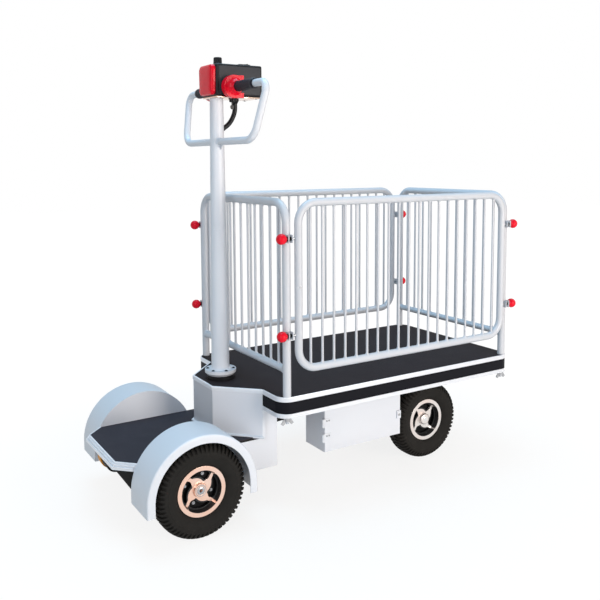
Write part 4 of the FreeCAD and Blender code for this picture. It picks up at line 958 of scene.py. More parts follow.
def end_panel_surfaces(node):
    """An arched tube on two legs, with a bottom rail, bars and studs, and welds where they meet."""
    lo, hi = low(node), high(node)
    radius = half_width(node)
    x = (hi[0] + lo[0]) / 2
    top = hi[2] - radius
    rail = low("side_gate_left")[2] + half_width("side_gate_left", 1)
    arch = rounded(
        [(x, -POST_Y, FRAME_TOP), (x, -POST_Y, top), (x, POST_Y, top), (x, POST_Y, FRAME_TOP)],
        [TUBE_BEND] * 2, 12)
    ys = -POST_Y + 2 * POST_Y * np.arange(1, PANEL_BARS + 1) / (PANEL_BARS + 1)
    surfaces = [
        tube(arch, radius, (1, 0, 0), 28),
        tube([(x, -POST_Y, rail), (x, POST_Y, rail)], RAIL_RADIUS, (1, 0, 0), 24),
        *bars([(x, y) for y in ys], (1, 0, 0), (rail, RAIL_RADIUS), (top, radius)),
    ]
    for side in (-1, 1):
        stud = [(0, lo[2]), (0.0044, lo[2]), (0.005, lo[2] + 0.0006), (0.005, FRAME_TOP),
                (0, FRAME_TOP)]
        surfaces.append(turned(stud, (x, side * POST_Y, 0), "z", 20))
        collar = weld_collar(RAIL_RADIUS, sizes().weld, "y", -side)
        surfaces.append(repeated(collar, [(x, side * (POST_Y - radius), rail)]))
    return surfaces


def bracket_surfaces(x):
    """The four channels welded on a pair of posts: two ears joined by a strip along the post."""
    inner, outer = POST_Y + BRACKET_IN, GATE_Y + BRACKET_OUT
    half, ear = BRACKET_HALF, BRACKET_HALF - BRACKET_WALL
    surfaces = []
    for side in (-1, 1):
        outline = np.array([
            (-half, outer), (-half, inner), (half, inner), (half, outer), (ear, outer),
            (ear, inner + BRACKET_WALL), (-ear, inner + BRACKET_WALL), (-ear, outer)])
        outline = outline * (1, side) + (x, 0)
        for level in bolt_levels():
            surfaces.append(prism(outline, level - BRACKET_TALL / 2, level + BRACKET_TALL / 2))
    return surfaces


class CART_OT_cage(bpy.types.Operator):
    """The two side gates, the two end panels and the bolts' brackets"""

    bl_idname = "cart.cage"
    bl_label = "Cage"

    def execute(self, context):
        # a darker copy of the body's paint, as painted shade on the tubes
        paint = "cage_steel"
        for side, hand in SIDES:
            node = "side_gate_" + hand
            piece("gate_tubes_" + hand, gate_surfaces(node), paint, "gate_" + hand, nodes=[node],
                  angle=50)
            lo, hi = low(node), high(node)
            rivet = (lo[0] + 0.012, hi[1] if side > 0 else lo[1], (lo[2] + hi[2]) / 2)
            piece("gate_screw_" + hand, [screw(rivet, "y", side, 0.0035, 0.002)],
                  "zinc_plating", "gate_" + hand)
        for end, x in zip(("rear", "front"), POSTS):
            node = "end_panel_" + end
            piece("end_tubes_" + end, end_panel_surfaces(node), paint, "chassis", nodes=[node],
                  angle=50)
            piece("bolt_brackets_" + end, bracket_surfaces(x), paint, "chassis", bevel=0.0008)
        return {"FINISHED"}


def bolt_places():
    """Each bolt as (post x, outward way, y, level, whether it is a lower one)."""
    lower, upper = bolt_levels()
    return [(x, way, y, level, level == lower) for x, way in zip(POSTS, (-1, 1))
            for y in (-GATE_Y, GATE_Y) for level in (lower, upper)]


def knob_surface(x, way, y, level):
    """A ball on a short neck: the circle of its profile starts where the neck's radius meets it."""
    start = math.asin(KNOB_NECK / KNOB_RADIUS)
    angle = np.linspace(start, np.pi, 26)
    ball = np.stack([KNOB_RADIUS * np.sin(angle), -KNOB_RADIUS * np.cos(angle)], -1)
    neck = np.array([(0.0, -KNOB_RADIUS + 0.0004), (0.0066, -KNOB_RADIUS + 0.0004)])
    profile = np.concatenate([neck, ball]) + (0, KNOB_REACH)
    return turned(profile, (x, y, level), "x", 40, way=way)


def spring_surface(centre):
    """The coils of a spring round a bolt, as rings: radius + wire x |sin|, along the bolt."""
    inside = BRACKET_HALF - BRACKET_WALL - SPRING_GAP
    along = np.linspace(-inside, inside, 8 * SPRING_COILS + 1)
    wave = np.abs(np.sin(np.pi * SPRING_COILS * (along + inside) / (2 * inside)))
    profile = np.concatenate([
        [(ROD_RADIUS, -inside)], np.stack([SPRING_RADIUS + SPRING_WIRE * wave, along], -1),
        [(ROD_RADIUS, inside)]])
    return turned(profile, centre, "x", 16, ring=True)


class CART_OT_bolts(bpy.types.Operator):
    """Spring bolts with their collars and ball knobs, and the wing nuts under the deck"""

    bl_idname = "cart.bolts"
    bl_label = "Bolts"

    def execute(self, context):
        knobs, collars, rods = [], [], []
        for x, way, y, level, is_lower in bolt_places():
            knobs.append(knob_surface(x, way, y, level))
            near, far = BRACKET_HALF, KNOB_REACH - KNOB_RADIUS + 0.0006
            collar = [(0.0042, near), (0.0076, near), (0.0078, near + 0.0003),
                      (0.0078, near + 0.0012), (0.0068, near + 0.0016), (0.0066, far),
                      (0.0042, far)]
            collars.append(turned(collar, (x, y, level), "x", 28, ring=True, way=way))
            tip = LOWER_TIP if is_lower else UPPER_TIP
            rod = [(0, -tip), (0.0032, -tip), (ROD_RADIUS, -tip + 0.0008), (ROD_RADIUS, far),
                   (0, far)]
            rods.append(turned(rod, (x, y, level), "x", 20, way=way))
        piece("ball_knobs", knobs, "red_plastic", "chassis", nodes=["bolt_knobs"], angle=60)
        piece("knob_collars", collars, "black_plastic", "chassis", nodes=["bolt_collars"])
        springs = [spring_surface((x, y, level)) for x, _, y, level, _ in bolt_places()]
        piece("bolt_springs", springs, "dark_steel", "chassis", angle=60)
        piece("bolt_rods", rods, "zinc_plating", "chassis", nodes=["spring_bolts"])
        softened("stud_wing_nuts", "wing_nuts", "zinc_plating", "chassis", 0.0007)
        return {"FINISHED"}


# ---------------------------------------------------------------- deck

def deck_route():
    """The deck's edge in plan, from the neck's right flank round the cargo end to the left one."""
    half, back, ahead = DECK_HALF, DECK_BACK, DECK_FRONT
    corners = [(back, half), (ahead, half), (ahead, -half), (back, -half)]
    return rounded([(back, NECK_ROOT), *corners, (back, -NECK_ROOT)], [DECK_CORNER] * 4, 12)[::-1]


def grooved(out, lower, upper, grooves, deep=0.0007, wide=0.0011):
    """A face between two heights, as (out, height), with fine grooves at the given heights."""
    line = [(out, lower)]
    for level in grooves:
        line += [(out, level - wide / 2), (out - deep, level - wide / 4),
                 (out - deep, level + wide / 4), (out, level + wide / 2)]
    return line + [(out, upper)]


BAND_SLOT = (0.013, 0.049)  # the heights of the band's slot above the deck's lower edge
BAND_FIT = 0.0003


def edge_profile():
    """The deck edge's channel: two lips with fine grooves, and the slot that holds the band."""
    z0, z1 = DECK_LOW, DECK_TOP
    band_low, band_high = z0 + BAND_SLOT[0], z0 + BAND_SLOT[1]
    return [
        (-0.010, z0), (-0.0010, z0), *grooved(0.0, z0 + 0.0010, band_low - 0.0008, [z0 + 0.0060]),
        (-0.0008, band_low), (-0.005, band_low), (-0.005, band_high), (-0.0008, band_high),
        *grooved(0.0, band_high + 0.0008, z1 - 0.0014, [band_high + 0.0048, z1 - 0.0042]),
        (-0.0004, z1 - 0.0004), (-0.0014, z1), (-0.0031, z1), (-0.0035, z1 - 0.0004),
        (-0.0035, z1 - 0.003), (-0.010, z1 - 0.003),
    ]


def strip_profile():
    """The thin strip round the neck's top edge, with a lip over the mat's rim."""
    z1 = DECK_TOP
    return [
        (-0.0005, z1 - 0.013), (0.0015, z1 - 0.013),
        *grooved(0.002, z1 - 0.0125, z1 - 0.0014, [z1 - 0.0042]), (0.0016, z1 - 0.0004),
        (0.0006, z1), (-0.0031, z1), (-0.0035, z1 - 0.0004), (-0.0035, z1 - 0.0035),
        (-0.0005, z1 - 0.0035),
    ]


class CART_OT_deck(bpy.types.Operator):
    """The deck's aluminium edge, the rubber band in it, the mat and the frame beneath"""

    bl_idname = "cart.deck"
    bl_label = "Deck"

    def execute(self, context):
        route = deck_route()
        edge = carried(route, edge_profile(), closed=False)
        strip = carried(NECK_OUTLINE[::-1], strip_profile(), closed=False,
                        ends=[(0.0, math.sqrt(2)), (0.0, -math.sqrt(2))])
        piece("deck_edge", [edge, strip], "extruded_aluminium", "chassis",
              nodes=["deck_edge_profile"], angle=28)
        z0, z1 = DECK_LOW + BAND_SLOT[0] + BAND_FIT, DECK_LOW + BAND_SLOT[1] - BAND_FIT
        band = [(-0.0048, z0), (-0.0014, z0), (-0.0009, z0 + 0.0006),
                *grooved(-0.0008, z0 + 0.001, z1 - 0.001, [z0 + 0.004, z1 - 0.004], 0.0006, 0.001),
                (-0.0009, z1 - 0.0006), (-0.0014, z1), (-0.0048, z1)]
        piece("edge_band", [carried(route, band, closed=False)], "edge_band_rubber",
              "chassis", nodes=["deck_band"])
        refinished("deck_mat", "deck_mat_rubber")
        softened("deck_ladder", "deck_frame", "painted_steel", "chassis", 0.001)
        return {"FINISHED"}


# ---------------------------------------------------------------- neck, chassis and battery boxes

HINGE_RISES = (0.0533, 0.1023)  # heights of the doors' hinges above the battery boxes' bottom
LATCH_RISE = 0.069


class CART_OT_bodywork(bpy.types.Operator):
    """The neck, the chassis box, the battery boxes with their doors, and the batteries"""

    bl_idname = "cart.bodywork"
    bl_label = "Bodywork"

    def execute(self, context):
        paint = "painted_steel"
        edge = sizes().sheet_edge
        softened("neck_sheet", "neck_box", paint, "chassis", edge)
        softened("chassis_sheet", "chassis_box", paint, "chassis", edge)
        softened("battery_sheet", "battery_boxes", paint, "chassis", 0.0009)
        softened("battery_blocks", "batteries", "black_plastic", "chassis", 0.003)
        for side, hand in SIDES:
            node = "battery_door_" + hand
            softened("door_sheet_" + hand, node, paint, "door_" + hand, 0.0009)
            lo, hi = low(node), high(node)
            face = hi[1] if side > 0 else lo[1]
            leaf = side * (abs(face) - 0.003)
            floor = low("battery_boxes")[2]
            heads = [screw((lo[0] + x, leaf, floor + rise), "y", side, 0.0028, 0.0016, 0.4)
                     for rise in HINGE_RISES for x in (0.017, 0.026)]
            latch = (hi[0] - 0.008, face, floor + LATCH_RISE)
            heads.append(screw(latch, "y", side, 0.0045, 0.0012, 0.5))
            piece("door_screws_" + hand, heads, "zinc_plating", "door_" + hand)
        return {"FINISHED"}


# ---------------------------------------------------------------- standing platform

TRIM_STEPS = ((0.004, 0.005), (0.008, 0.011), (0.012, 0.0205))  # (out, down) of each step


def trim_profile():
    """Three steps down the platform's edge, each with a fine groove, as (out, height)."""
    top = PLATFORM_TOP
    line = [(0.0, top - TRIM_STEPS[-1][1])]
    levels = [0.0] + [down for _, down in TRIM_STEPS]
    for (out, down), above in zip(TRIM_STEPS[::-1], levels[-2::-1]):
        line += [(out - 0.0008, top - down), (out, top - down + 0.0008),
                 *grooved(out, top - down + 0.001, top - above - 0.001, [top - above - 0.0022])[1:],
                 (out - 0.0008, top - above)]
    return line + [(0.0, top)]


GUSSET_TOP = low("platform_plate")[2]
GUSSET_TIP = GUSSET_TOP - 0.021
GUSSET_LOW = low("chassis_box")[2] + 0.001
GUSSET_IN = 0.002     # how far the gussets stand inside the platform's chamfers
GUSSET_SHEET = 0.0021


class CART_OT_platform(bpy.types.Operator):
    """The standing platform's mat, plate, stepped edge and gussets"""

    bl_idname = "cart.platform"
    bl_label = "Platform"

    def execute(self, context):
        half, corner = PLATFORM_HALF, PLATFORM_CORNER
        chamfer = PLATFORM_BACK + half - corner
        outline = [(chamfer, half), (PLATFORM_BACK, corner), (PLATFORM_BACK, -corner),
                   (chamfer, -half)]
        ends = [(-math.sqrt(2), 0.0), (-math.sqrt(2), 0.0)]
        piece("platform_edge", [carried(outline, trim_profile(), closed=False, ends=ends)],
              "extruded_aluminium", "chassis", nodes=["platform_trim"], angle=28)
        refinished("platform_mat", "platform_mat_rubber")
        refinished("platform_plate", "dark_steel")
        plates = []
        for side, _ in SIDES:
            rear = (PLATFORM_BACK + GUSSET_IN, side * (corner - GUSSET_IN))
            front = (chamfer + GUSSET_IN, side * (half - GUSSET_IN))
            plates.append(flat_plate(
                [(*rear, GUSSET_TOP), (*front, GUSSET_TOP), (*front, GUSSET_LOW),
                 (*rear, GUSSET_TIP)], (GUSSET_SHEET, -side * GUSSET_SHEET, 0)))
        piece("gusset_plates", plates, "dark_steel", "chassis", nodes=["rear_gussets"],
              bevel=0.0006)
        return {"FINISHED"}


# ---------------------------------------------------------------- fenders

FENDER_SKIN = 0.0025
FENDER_LIP = 0.024  # how far the skin's lip turns in over the tyre
AXLE_HOLE = 0.024   # half the width of the inner plate's slot over the axle


def fender_surfaces(node, side):
    """The fender's skin and turned-in lip, one section carried along an arch with straight legs,
    and the flat inner plate with its slot over the axle."""
    lo, hi = low(node), high(node)
    x = (lo[0] + hi[0]) / 2
    radius = half_width(node)
    level = hi[2] - radius
    inner, outer = sorted((abs(lo[1]), abs(hi[1])))
    skin, lip, hole = FENDER_SKIN, FENDER_LIP, AXLE_HOLE
    turn = np.linspace(0, np.pi, 49)
    arch = np.stack([x + radius * np.cos(turn), level + radius * np.sin(turn)], -1)
    route = np.concatenate([[(x + radius, lo[2])], arch, [(x - radius, lo[2])]])
    section = rounded(
        [(0, inner + skin), (0, outer), (-lip, outer), (-lip, outer - skin),
         (-skin, outer - skin), (-skin, inner + skin)], [0.0055, 0.0012, 0.0008, 0.0032], 5)
    steps = np.array([(p[0], p[1] * side) for p in section])
    shell = carried(route, steps, "y", closed=False)
    gap = np.linspace(0, np.pi, 17)
    slot_line = np.stack([x - hole * np.cos(gap), level + hole * np.sin(gap)], -1)
    plate = np.concatenate([route, [(x - hole, lo[2])], slot_line, [(x + hole, lo[2])]])
    return [shell, prism(plate, side * inner, side * (inner + skin), "y")]


class CART_OT_fenders(bpy.types.Operator):
    """The two fenders over the drive wheels"""

    bl_idname = "cart.fenders"
    bl_label = "Fenders"

    def execute(self, context):
        for side, hand in SIDES:
            node = "fender_" + hand
            piece("fender_sheet_" + hand, fender_surfaces(node, side), "painted_steel",
                  "chassis", nodes=[node], angle=40)
        return {"FINISHED"}


# ---------------------------------------------------------------- wheels

TYRE_SECTION = np.array([  # half of the tyre's section, from bead to crown, as (radius, across)
    (0.0700, 0.0245), (0.0742, 0.0247), (0.0762, 0.0268), (0.0785, 0.0300), (0.0830, 0.0334),
    (0.0900, 0.0368), (0.0970, 0.0390), (0.1035, 0.0398), (0.1042, 0.0404), (0.1056, 0.0404),
    (0.1063, 0.0398), (0.1110, 0.0400), (0.1150, 0.0396), (0.1190, 0.0388), (0.1230, 0.0372),
    (0.1265, 0.0350), (0.1300, 0.0318), (0.1330, 0.0278), (0.1350, 0.0236), (0.1362, 0.0190),
    (0.1368, 0.0140), (0.1370, 0.0090), (0.1370, 0.0062), (0.1370, 0.0040)])
LUG_STARTS = np.array([0.0, 0.05, 0.28, 0.51, 0.56, 0.78])  # where the lines of one lug's pitch lie
LUG_HEIGHTS = np.array([0.0, 1.0, 1.0, 1.0, 0.0, 0.0])
CROWN_HALF = 0.02               # half the width of the crown, where the grooves go straight in
LUG_FOOT, LUG_FADE = 0.1140, 0.0100  # the radius where the grooves start, and where they are full
RIB_HALF, RIB_FADE = 0.0050, 0.0012  # half the width of the shallower middle, and of its sides
STEP_HALF = 0.0062              # half the width over which the lugs step by half a pitch
SIDE_START, SIDE_WIDE = 0.006, 0.026  # where the lugs' slant starts, and how far it goes


def tyre_surface(centre, count, deep):
    """P(i, k) = section_k turned by angle_i + slant_k, sunk by depth x groove_i x share_k along
    the section's normal: the lugs' edges follow the table's own lines, which slant across the
    tread and are half a pitch apart on its two sides."""
    radius, across = np.concatenate([TYRE_SECTION, TYRE_SECTION[::-1] * (1, -1)]).T
    heading = unit(np.gradient(np.stack([radius, across], -1), axis=0))
    normal = np.stack([heading[:, 1], -heading[:, 0]], -1)
    normal *= np.sign(normal[:, 1:] * across[:, None] + normal[:, :1] * 1e-3 + 1e-12)
    aside = np.abs(across)
    normal[aside < CROWN_HALF] = (1.0, 0.0)
    shoulder = np.clip((radius - LUG_FOOT) / LUG_FADE, 0, 1)
    share = shoulder * (0.6 + 0.4 * np.clip((aside - RIB_HALF) / RIB_FADE, 0, 1))
    pitch = 2 * np.pi / count
    slant = pitch * (np.clip(across / STEP_HALF, -1, 1) * 0.25
                     + 0.55 * np.clip((aside - SIDE_START) / SIDE_WIDE, 0, 1))
    angle = (pitch * (np.arange(count)[:, None] + LUG_STARTS)).reshape(-1, 1)
    groove = 1 - np.tile(LUG_HEIGHTS, count)[:, None]
    sink = deep * groove * share
    r = radius - sink * normal[:, 0]
    w = across - sink * normal[:, 1]
    turn = angle + slant
    points = np.stack([r * np.cos(turn), w + 0 * turn, r * np.sin(turn)], -1) + np.asarray(centre)
    return grid(points, wrap_u=True, wrap_v=True)


class CART_OT_tyres(bpy.types.Operator):
    """The four tyres with their lugs"""

    bl_idname = "cart.tyres"
    bl_label = "Tyres"

    def execute(self, context):
        s = sizes()
        for end in ("rear", "front"):
            for _, hand in SIDES:
                node = "%s_tyre_%s" % (end, hand)
                surface = tyre_surface(middle(node), s.lug_count, s.lug_deep)
                piece("%s_tread_%s" % (end, hand), [surface], "tyre_rubber",
                      "%s_wheel_%s" % (end, hand), nodes=[node], angle=28)
        return {"FINISHED"}


RIM_TURNS = {"rear": 62.0, "front": 60.0}  # where the first opening of a rim starts, in degrees
BACKING_OUT = -0.0020   # the backing's outer face, from the wheel's middle
SCREW_CIRCLE = 0.0425
SCREW_TURN = 8.0        # how far past an opening's start a hub screw lies, in degrees


def backing_ring(centre, side):
    """The dark plate behind a rim's openings: a flat ring turned about the axle. Its near-black
    colour also stands in for the shade behind the openings.
    """
    outline = [(0.0205, -0.0055), (0.0598, -0.0055), (0.0598, -0.0025), (0.0592, BACKING_OUT),
               (0.0205, BACKING_OUT)]
    return turned(outline, centre, "y", 48, ring=True, way=side)


class CART_OT_rims(bpy.types.Operator):
    """The four rims with their dark backing, screws on the drive wheels and caps on the others"""

    bl_idname = "cart.rims"
    bl_label = "Rims"

    def execute(self, context):
        for side, hand in SIDES:
            for end, turn in RIM_TURNS.items():
                node = "%s_rim_%s" % (end, hand)
                softened("%s_casting_%s" % (end, hand), node, rim_finish(end, hand, side, turn),
                         "%s_wheel_%s" % (end, hand), 0.0006, slot="rim_cast", angle=30)
            for end in RIM_TURNS:
                hub = middle("%s_tyre_%s" % (end, hand))
                piece("%s_backing_%s" % (end, hand), [backing_ring(hub, side)],
                      "rim_backing", "%s_wheel_%s" % (end, hand))
            hub = middle("rear_tyre_" + hand)
            heads = []
            for step in range(4):
                angle = math.radians(RIM_TURNS["rear"] + SCREW_TURN + WINDOW_PITCH * step)
                spot = (hub[0] - side * SCREW_CIRCLE * math.cos(angle),
                        hub[1] + side * BACKING_OUT, hub[2] + SCREW_CIRCLE * math.sin(angle))
                heads.append(hex_screw(spot, "y", side, 0.0038, 0.0026))
            piece("hub_screws_" + hand, heads, "zinc_plating", "rear_wheel_" + hand)
            washer = [(0.0045, 0.0202), (0.0052, 0.0212), (0.0092, 0.0212), (0.0104, 0.0206),
                      (0.0112, 0.0188), (0.0135, 0.0188), (0.0150, 0.0206), (0.0164, 0.0206),
                      (0.0168, 0.0199), (0.0045, 0.0199)]
            surface = turned(washer, hub, "y", 40, ring=True, way=side)
            piece("hub_washer_" + hand, [surface], "zinc_plating", "rear_wheel_" + hand)
            hub = middle("front_tyre_" + hand)
            cap = [
                (0.0, 0.0262), (0.005, 0.0259), (0.0095, 0.0248), (0.0135, 0.0229),
                (0.0165, 0.0202), (0.0184, 0.017), (0.0192, 0.0145), (0.0206, 0.0142),
                (0.0206, 0.0116), (0.0, 0.0116)]
            piece("hub_cap_" + hand, [turned(cap, hub, "y", 40, way=side)],
                  "bright_plating", "front_wheel_" + hand)
        return {"FINISHED"}


# ---------------------------------------------------------------- axles, linkage and motor

MOTOR_NECK = 0.018       # radius of the neck between the gear case and the barrel
MOTOR_NECK_LONG = 0.050
MOTOR_SLIM = 0.007       # how much slimmer the barrel is than its CAD body
BELL_SLIM = 0.001        # and the bell
BELL_DOME = 0.028        # how far the bell's dome stands out
GROOVE_PITCH = 0.012     # between the barrel's grooves


def motor_surface():
    """The motor's neck and its barrel with shallow grooves, turned about the motor's axis."""
    centre = middle("drive_motor")
    start, end = low("drive_motor")[1], high("drive_motor")[1]
    wide = half_width("drive_motor") - MOTOR_SLIM
    rear = start + MOTOR_NECK_LONG
    rings = []
    for level in np.arange(rear + 0.010, end - 0.010, GROOVE_PITCH):
        rings += [(wide, level), (wide - 0.0012, level + 0.0006), (wide - 0.0012, level + 0.0024),
                  (wide, level + 0.003)]
    body = [(0, start), (MOTOR_NECK, start), (MOTOR_NECK, rear - 0.004), (MOTOR_NECK + 0.004, rear),
            (wide - 0.005, rear), (wide - 0.001, rear + 0.0015), (wide, rear + 0.005), *rings,
            (wide, end - 0.005), (wide - 0.0015, end - 0.0012), (wide - 0.006, end), (0, end)]
    centre[1] = 0
    return turned(body, centre, "y", 56)


def bell_surface():
    """The end bell: a short cylinder and a dome, (wide cos t, dome sin t)."""
    centre = middle("motor_end_bell")
    start, end = low("motor_end_bell")[1], high("motor_end_bell")[1]
    wide = half_width("motor_end_bell") - BELL_SLIM
    t = np.linspace(0, np.pi / 2, 12)
    dome = np.stack([wide * np.cos(t), end - BELL_DOME + BELL_DOME * np.sin(t)], -1)
    centre[1] = 0
    return turned(np.concatenate([[(0, start), (wide, start)], dome]), centre, "y", 56)


class CART_OT_running_gear(bpy.types.Operator):
    """The axles, the steering linkage and the motor"""

    bl_idname = "cart.running_gear"
    bl_label = "Running gear"

    def execute(self, context):
        for name, node, body, bevel in (
                ("axle_casing", "drive_axle", "chassis", 0.0012),
                ("front_beam", "front_axle_beam", "chassis", 0.0012),
                ("tie_rod_bar", "tie_rod", "tie_rod_body", 0.0006),
                ("drag_link_bar", "drag_link", "drag_link_body", 0.0006),
                ("knuckle_right_forging", "knuckle_right", "knuckle_body_right", 0.0008),
                ("knuckle_left_forging", "knuckle_left", "knuckle_body_left", 0.0008)):
            softened(name, node, "dark_steel", body, bevel)
        piece("motor_barrel", [motor_surface()], "dark_steel", "chassis", nodes=["drive_motor"])
        piece("bell_casting", [bell_surface()], "end_bell_plating", "chassis",
              nodes=["motor_end_bell"])
        return {"FINISHED"}


# ---------------------------------------------------------------- steering column

COLUMN_NARROW = 0.021    # the column's radius at its top
SEAM_RISE = 0.452        # from the column's foot to the seam round it
FLANGE_CIRCLE = 0.0415
SHAFT_HOLE = 0.0141      # inner radius of the bearing seat's rings
SPLIT_DOWN = 0.007       # from the seat's top down to the split between its rings


class CART_OT_column(bpy.types.Operator):
    """The steering column, its flange with bolts, and the bearing seat"""

    bl_idname = "cart.column"
    bl_label = "Column"

    def execute(self, context):
        paint = "painted_steel"
        foot, top = COLUMN_FOOT, COLUMN_TOP
        wide = half_width("steering_column")
        narrow = COLUMN_NARROW
        seam = foot + SEAM_RISE

        def radius(z):
            return wide + (narrow - wide) * (z - foot) / (top - foot)

        profile = [
            (0, foot), (wide + 0.006, foot), (wide + 0.0058, foot + 0.0012),
            (wide + 0.003, foot + 0.003), (wide + 0.0008, foot + 0.0065),
            (radius(foot + 0.011), foot + 0.011), (radius(seam), seam - 0.0012),
            (radius(seam) - 0.0006, seam - 0.0006), (radius(seam) - 0.0006, seam + 0.0006),
            (radius(seam), seam + 0.0012), (narrow, top - 0.0003), (0, top - 0.0003)]
        corner = [
            (-0.019, CROSS_Z - 0.0095), (-0.044, CROSS_Z - 0.0095), (-0.0205, CROSS_Z - 0.026)]
        piece("column_tube", [turned(profile, (COLUMN_X, 0, 0), "z", 56)], paint, "steering",
              nodes=["steering_column"])
        piece("column_gusset", [prism(corner, COLUMN_X - 0.002, COLUMN_X + 0.002, "x")], paint,
              "steering", bevel=0.0008)
        softened("column_flange", "steering_shaft", paint, "steering", 0.0009)
        heads, wells = [], []
        for step in range(6):
            angle = math.radians(30 + 60 * step)
            spot = (COLUMN_X + FLANGE_CIRCLE * math.cos(angle), FLANGE_CIRCLE * math.sin(angle),
                    foot)
            heads.append(screw(spot, "z", 1, 0.0042, 0.0028, 0.55))
            # a grey ring round each screw, as painted shade in place of a sunk recess
            wells.append(turned([(0, 0.0003), (0.0062, 0.0003), (0.0066, -0.0004), (0, -0.0004)],
                                spot, "z", 24))
        piece("flange_screws", heads, "dark_steel", "steering")
        piece("flange_wells", wells, "seat_steel", "steering")
        seat = middle("bearing_seat")
        wide = half_width("bearing_seat")
        z0, z1 = low("bearing_seat")[2], high("bearing_seat")[2]
        seat[2] = 0
        hole, split = SHAFT_HOLE, z1 - SPLIT_DOWN
        foot_ring = [(hole, z0), (wide - 0.001, z0), (wide - 0.001, split - 0.001),
                     (wide - 0.002, split), (hole, split)]
        top_ring = [(hole, split), (wide - 0.0006, split), (wide, split + 0.0006),
                    (wide, z1 - 0.001), (wide - 0.001, z1), (hole, z1)]
        piece("seat_ring", [turned(foot_ring, seat, "z", 56, ring=True)], "black_plastic",
              "chassis", nodes=["bearing_seat"], slot="dark_steel")
        piece("seat_bearing", [turned(top_ring, seat, "z", 56, ring=True)], "seat_steel",
              "chassis")
        return {"FINISHED"}


# ---------------------------------------------------------------- handle

GRIP_RADIUS = 0.0165
GRIP_SPAN = (0.084, 0.198)    # where a grip starts and ends, from the middle of the handle
RING_SPAN = (0.104, 0.186)    # where its rings lie
RING_PITCH = 0.0042
HANDLE_RADIUS = 0.011
HANDLE_END = 0.275            # half the handle's width at the grips' level
HANDLE_ROOT = 0.240           # and where its sides reach the cross tube's level
CROSS_RADIUS = 0.0205         # the column's radius at the cross tube
WHEEL_RADIUS = 0.035          # a thumb wheel's
BELL_FOOT = 0.031             # a thumb bell's radius at its wheel
BELL_FLAT = 0.0150            # how far from its middle the foot is cut flat
BELL_TOP = 0.0186             # its radius at the grip
BELL_SUNK = 0.0035            # how far it starts below the wheel's face


def grip_surface(side):
    """A grip turned about the handle: fine rings over its middle, and both ends rounded."""
    start, end = GRIP_SPAN
    rings = []
    for level in np.arange(*RING_SPAN, RING_PITCH):
        rings += [(GRIP_RADIUS, level), (GRIP_RADIUS - 0.0006, level + 0.0005),
                  (GRIP_RADIUS - 0.0006, level + 0.0016), (GRIP_RADIUS, level + 0.0021)]
    profile = [
        (0.0111, start), (0.0128, start + 0.0002), (0.0148, start + 0.0022),
        (0.0160, start + 0.0056), (GRIP_RADIUS, start + 0.0100), *rings,
        (GRIP_RADIUS, end - 0.006), (0.0161, end - 0.0022), (0.0148, end - 0.0004),
        (0.0132, end), (0.0111, end)]
    return turned(profile, (HANDLE_X, 0, HANDLE_Z), "y", 40, ring=True, way=side)


def thumb_bell(side):
    """The bell that joins a thumb wheel to its grip: P(t, a) goes from a circle with one side cut
    flat to a smaller circle about the handle, rising along a hollow curve."""
    lo, hi = low("thumb_controls"), high("thumb_controls")
    centre_x = lo[0] + WHEEL_RADIUS
    start = hi[1] - BELL_SUNK
    angle = np.linspace(0, 2 * np.pi, 49)[:-1]
    wide = np.stack([
        np.minimum(centre_x + BELL_FOOT * np.cos(angle), centre_x + BELL_FLAT),
        HANDLE_Z + BELL_FOOT * np.sin(angle)], -1)
    narrow = np.stack([
        HANDLE_X + BELL_TOP * np.cos(angle), HANDLE_Z + BELL_TOP * np.sin(angle)], -1)
    t = np.array([0, 0, 0.12, 0.3, 0.5, 0.7, 0.86, 0.96, 1.0])[:, None, None]
    rise = np.array([-0.008, 0, 0.0020, 0.0034, 0.0048, 0.0070, 0.0100, 0.0128, 0.0136])
    flat = wide * (1 - t) + narrow * t
    across = np.broadcast_to((side * (start + rise))[:, None, None], flat[..., :1].shape)
    rows = np.concatenate([flat[..., :1], across, flat[..., 1:]], -1)
    return grid(rows, wrap_v=True, caps=True)


class CART_OT_handle(bpy.types.Operator):
    """The handle's bent tube, the grips and the thumb wheels"""

    bl_idname = "cart.handle"
    bl_label = "Handle"

    def execute(self, context):
        inner = high("control_box")[1] + 0.0003
        right = [(HANDLE_X, -inner, HANDLE_Z), (HANDLE_X, -HANDLE_END, HANDLE_Z),
                 (COLUMN_X, -HANDLE_ROOT, CROSS_Z)]
        left = [(x, -y, z) for x, y, z in right[::-1]]
        route = rounded(right + left, [0.030, 0.050, 0.050, 0.030], 12)
        normal = np.cross((0, 1, 0), (HANDLE_X - COLUMN_X, 0, HANDLE_Z - CROSS_Z))
        welds = [repeated(weld_collar(HANDLE_RADIUS, 0.003, "y", side, sink=0.004),
                          [(COLUMN_X, side * CROSS_RADIUS, CROSS_Z)]) for side in (1, -1)]
        piece("handle_tube", [tube(route, HANDLE_RADIUS, normal, 32), *welds],
              "painted_steel", "steering", nodes=["handle_loop"], angle=50)
        piece("rubber_grips", [grip_surface(side) for side, _ in SIDES], "grip_rubber",
              "steering", nodes=["handle_grips"], angle=40)
        softened("thumb_wheels", "thumb_controls", "red_plastic", "steering", 0.0024, angle=35,
                 segments=4)
        piece("thumb_bells", [thumb_bell(side) for side, _ in SIDES], "red_plastic",
              "steering", angle=50)
        return {"FINISHED"}


# ---------------------------------------------------------------- control head

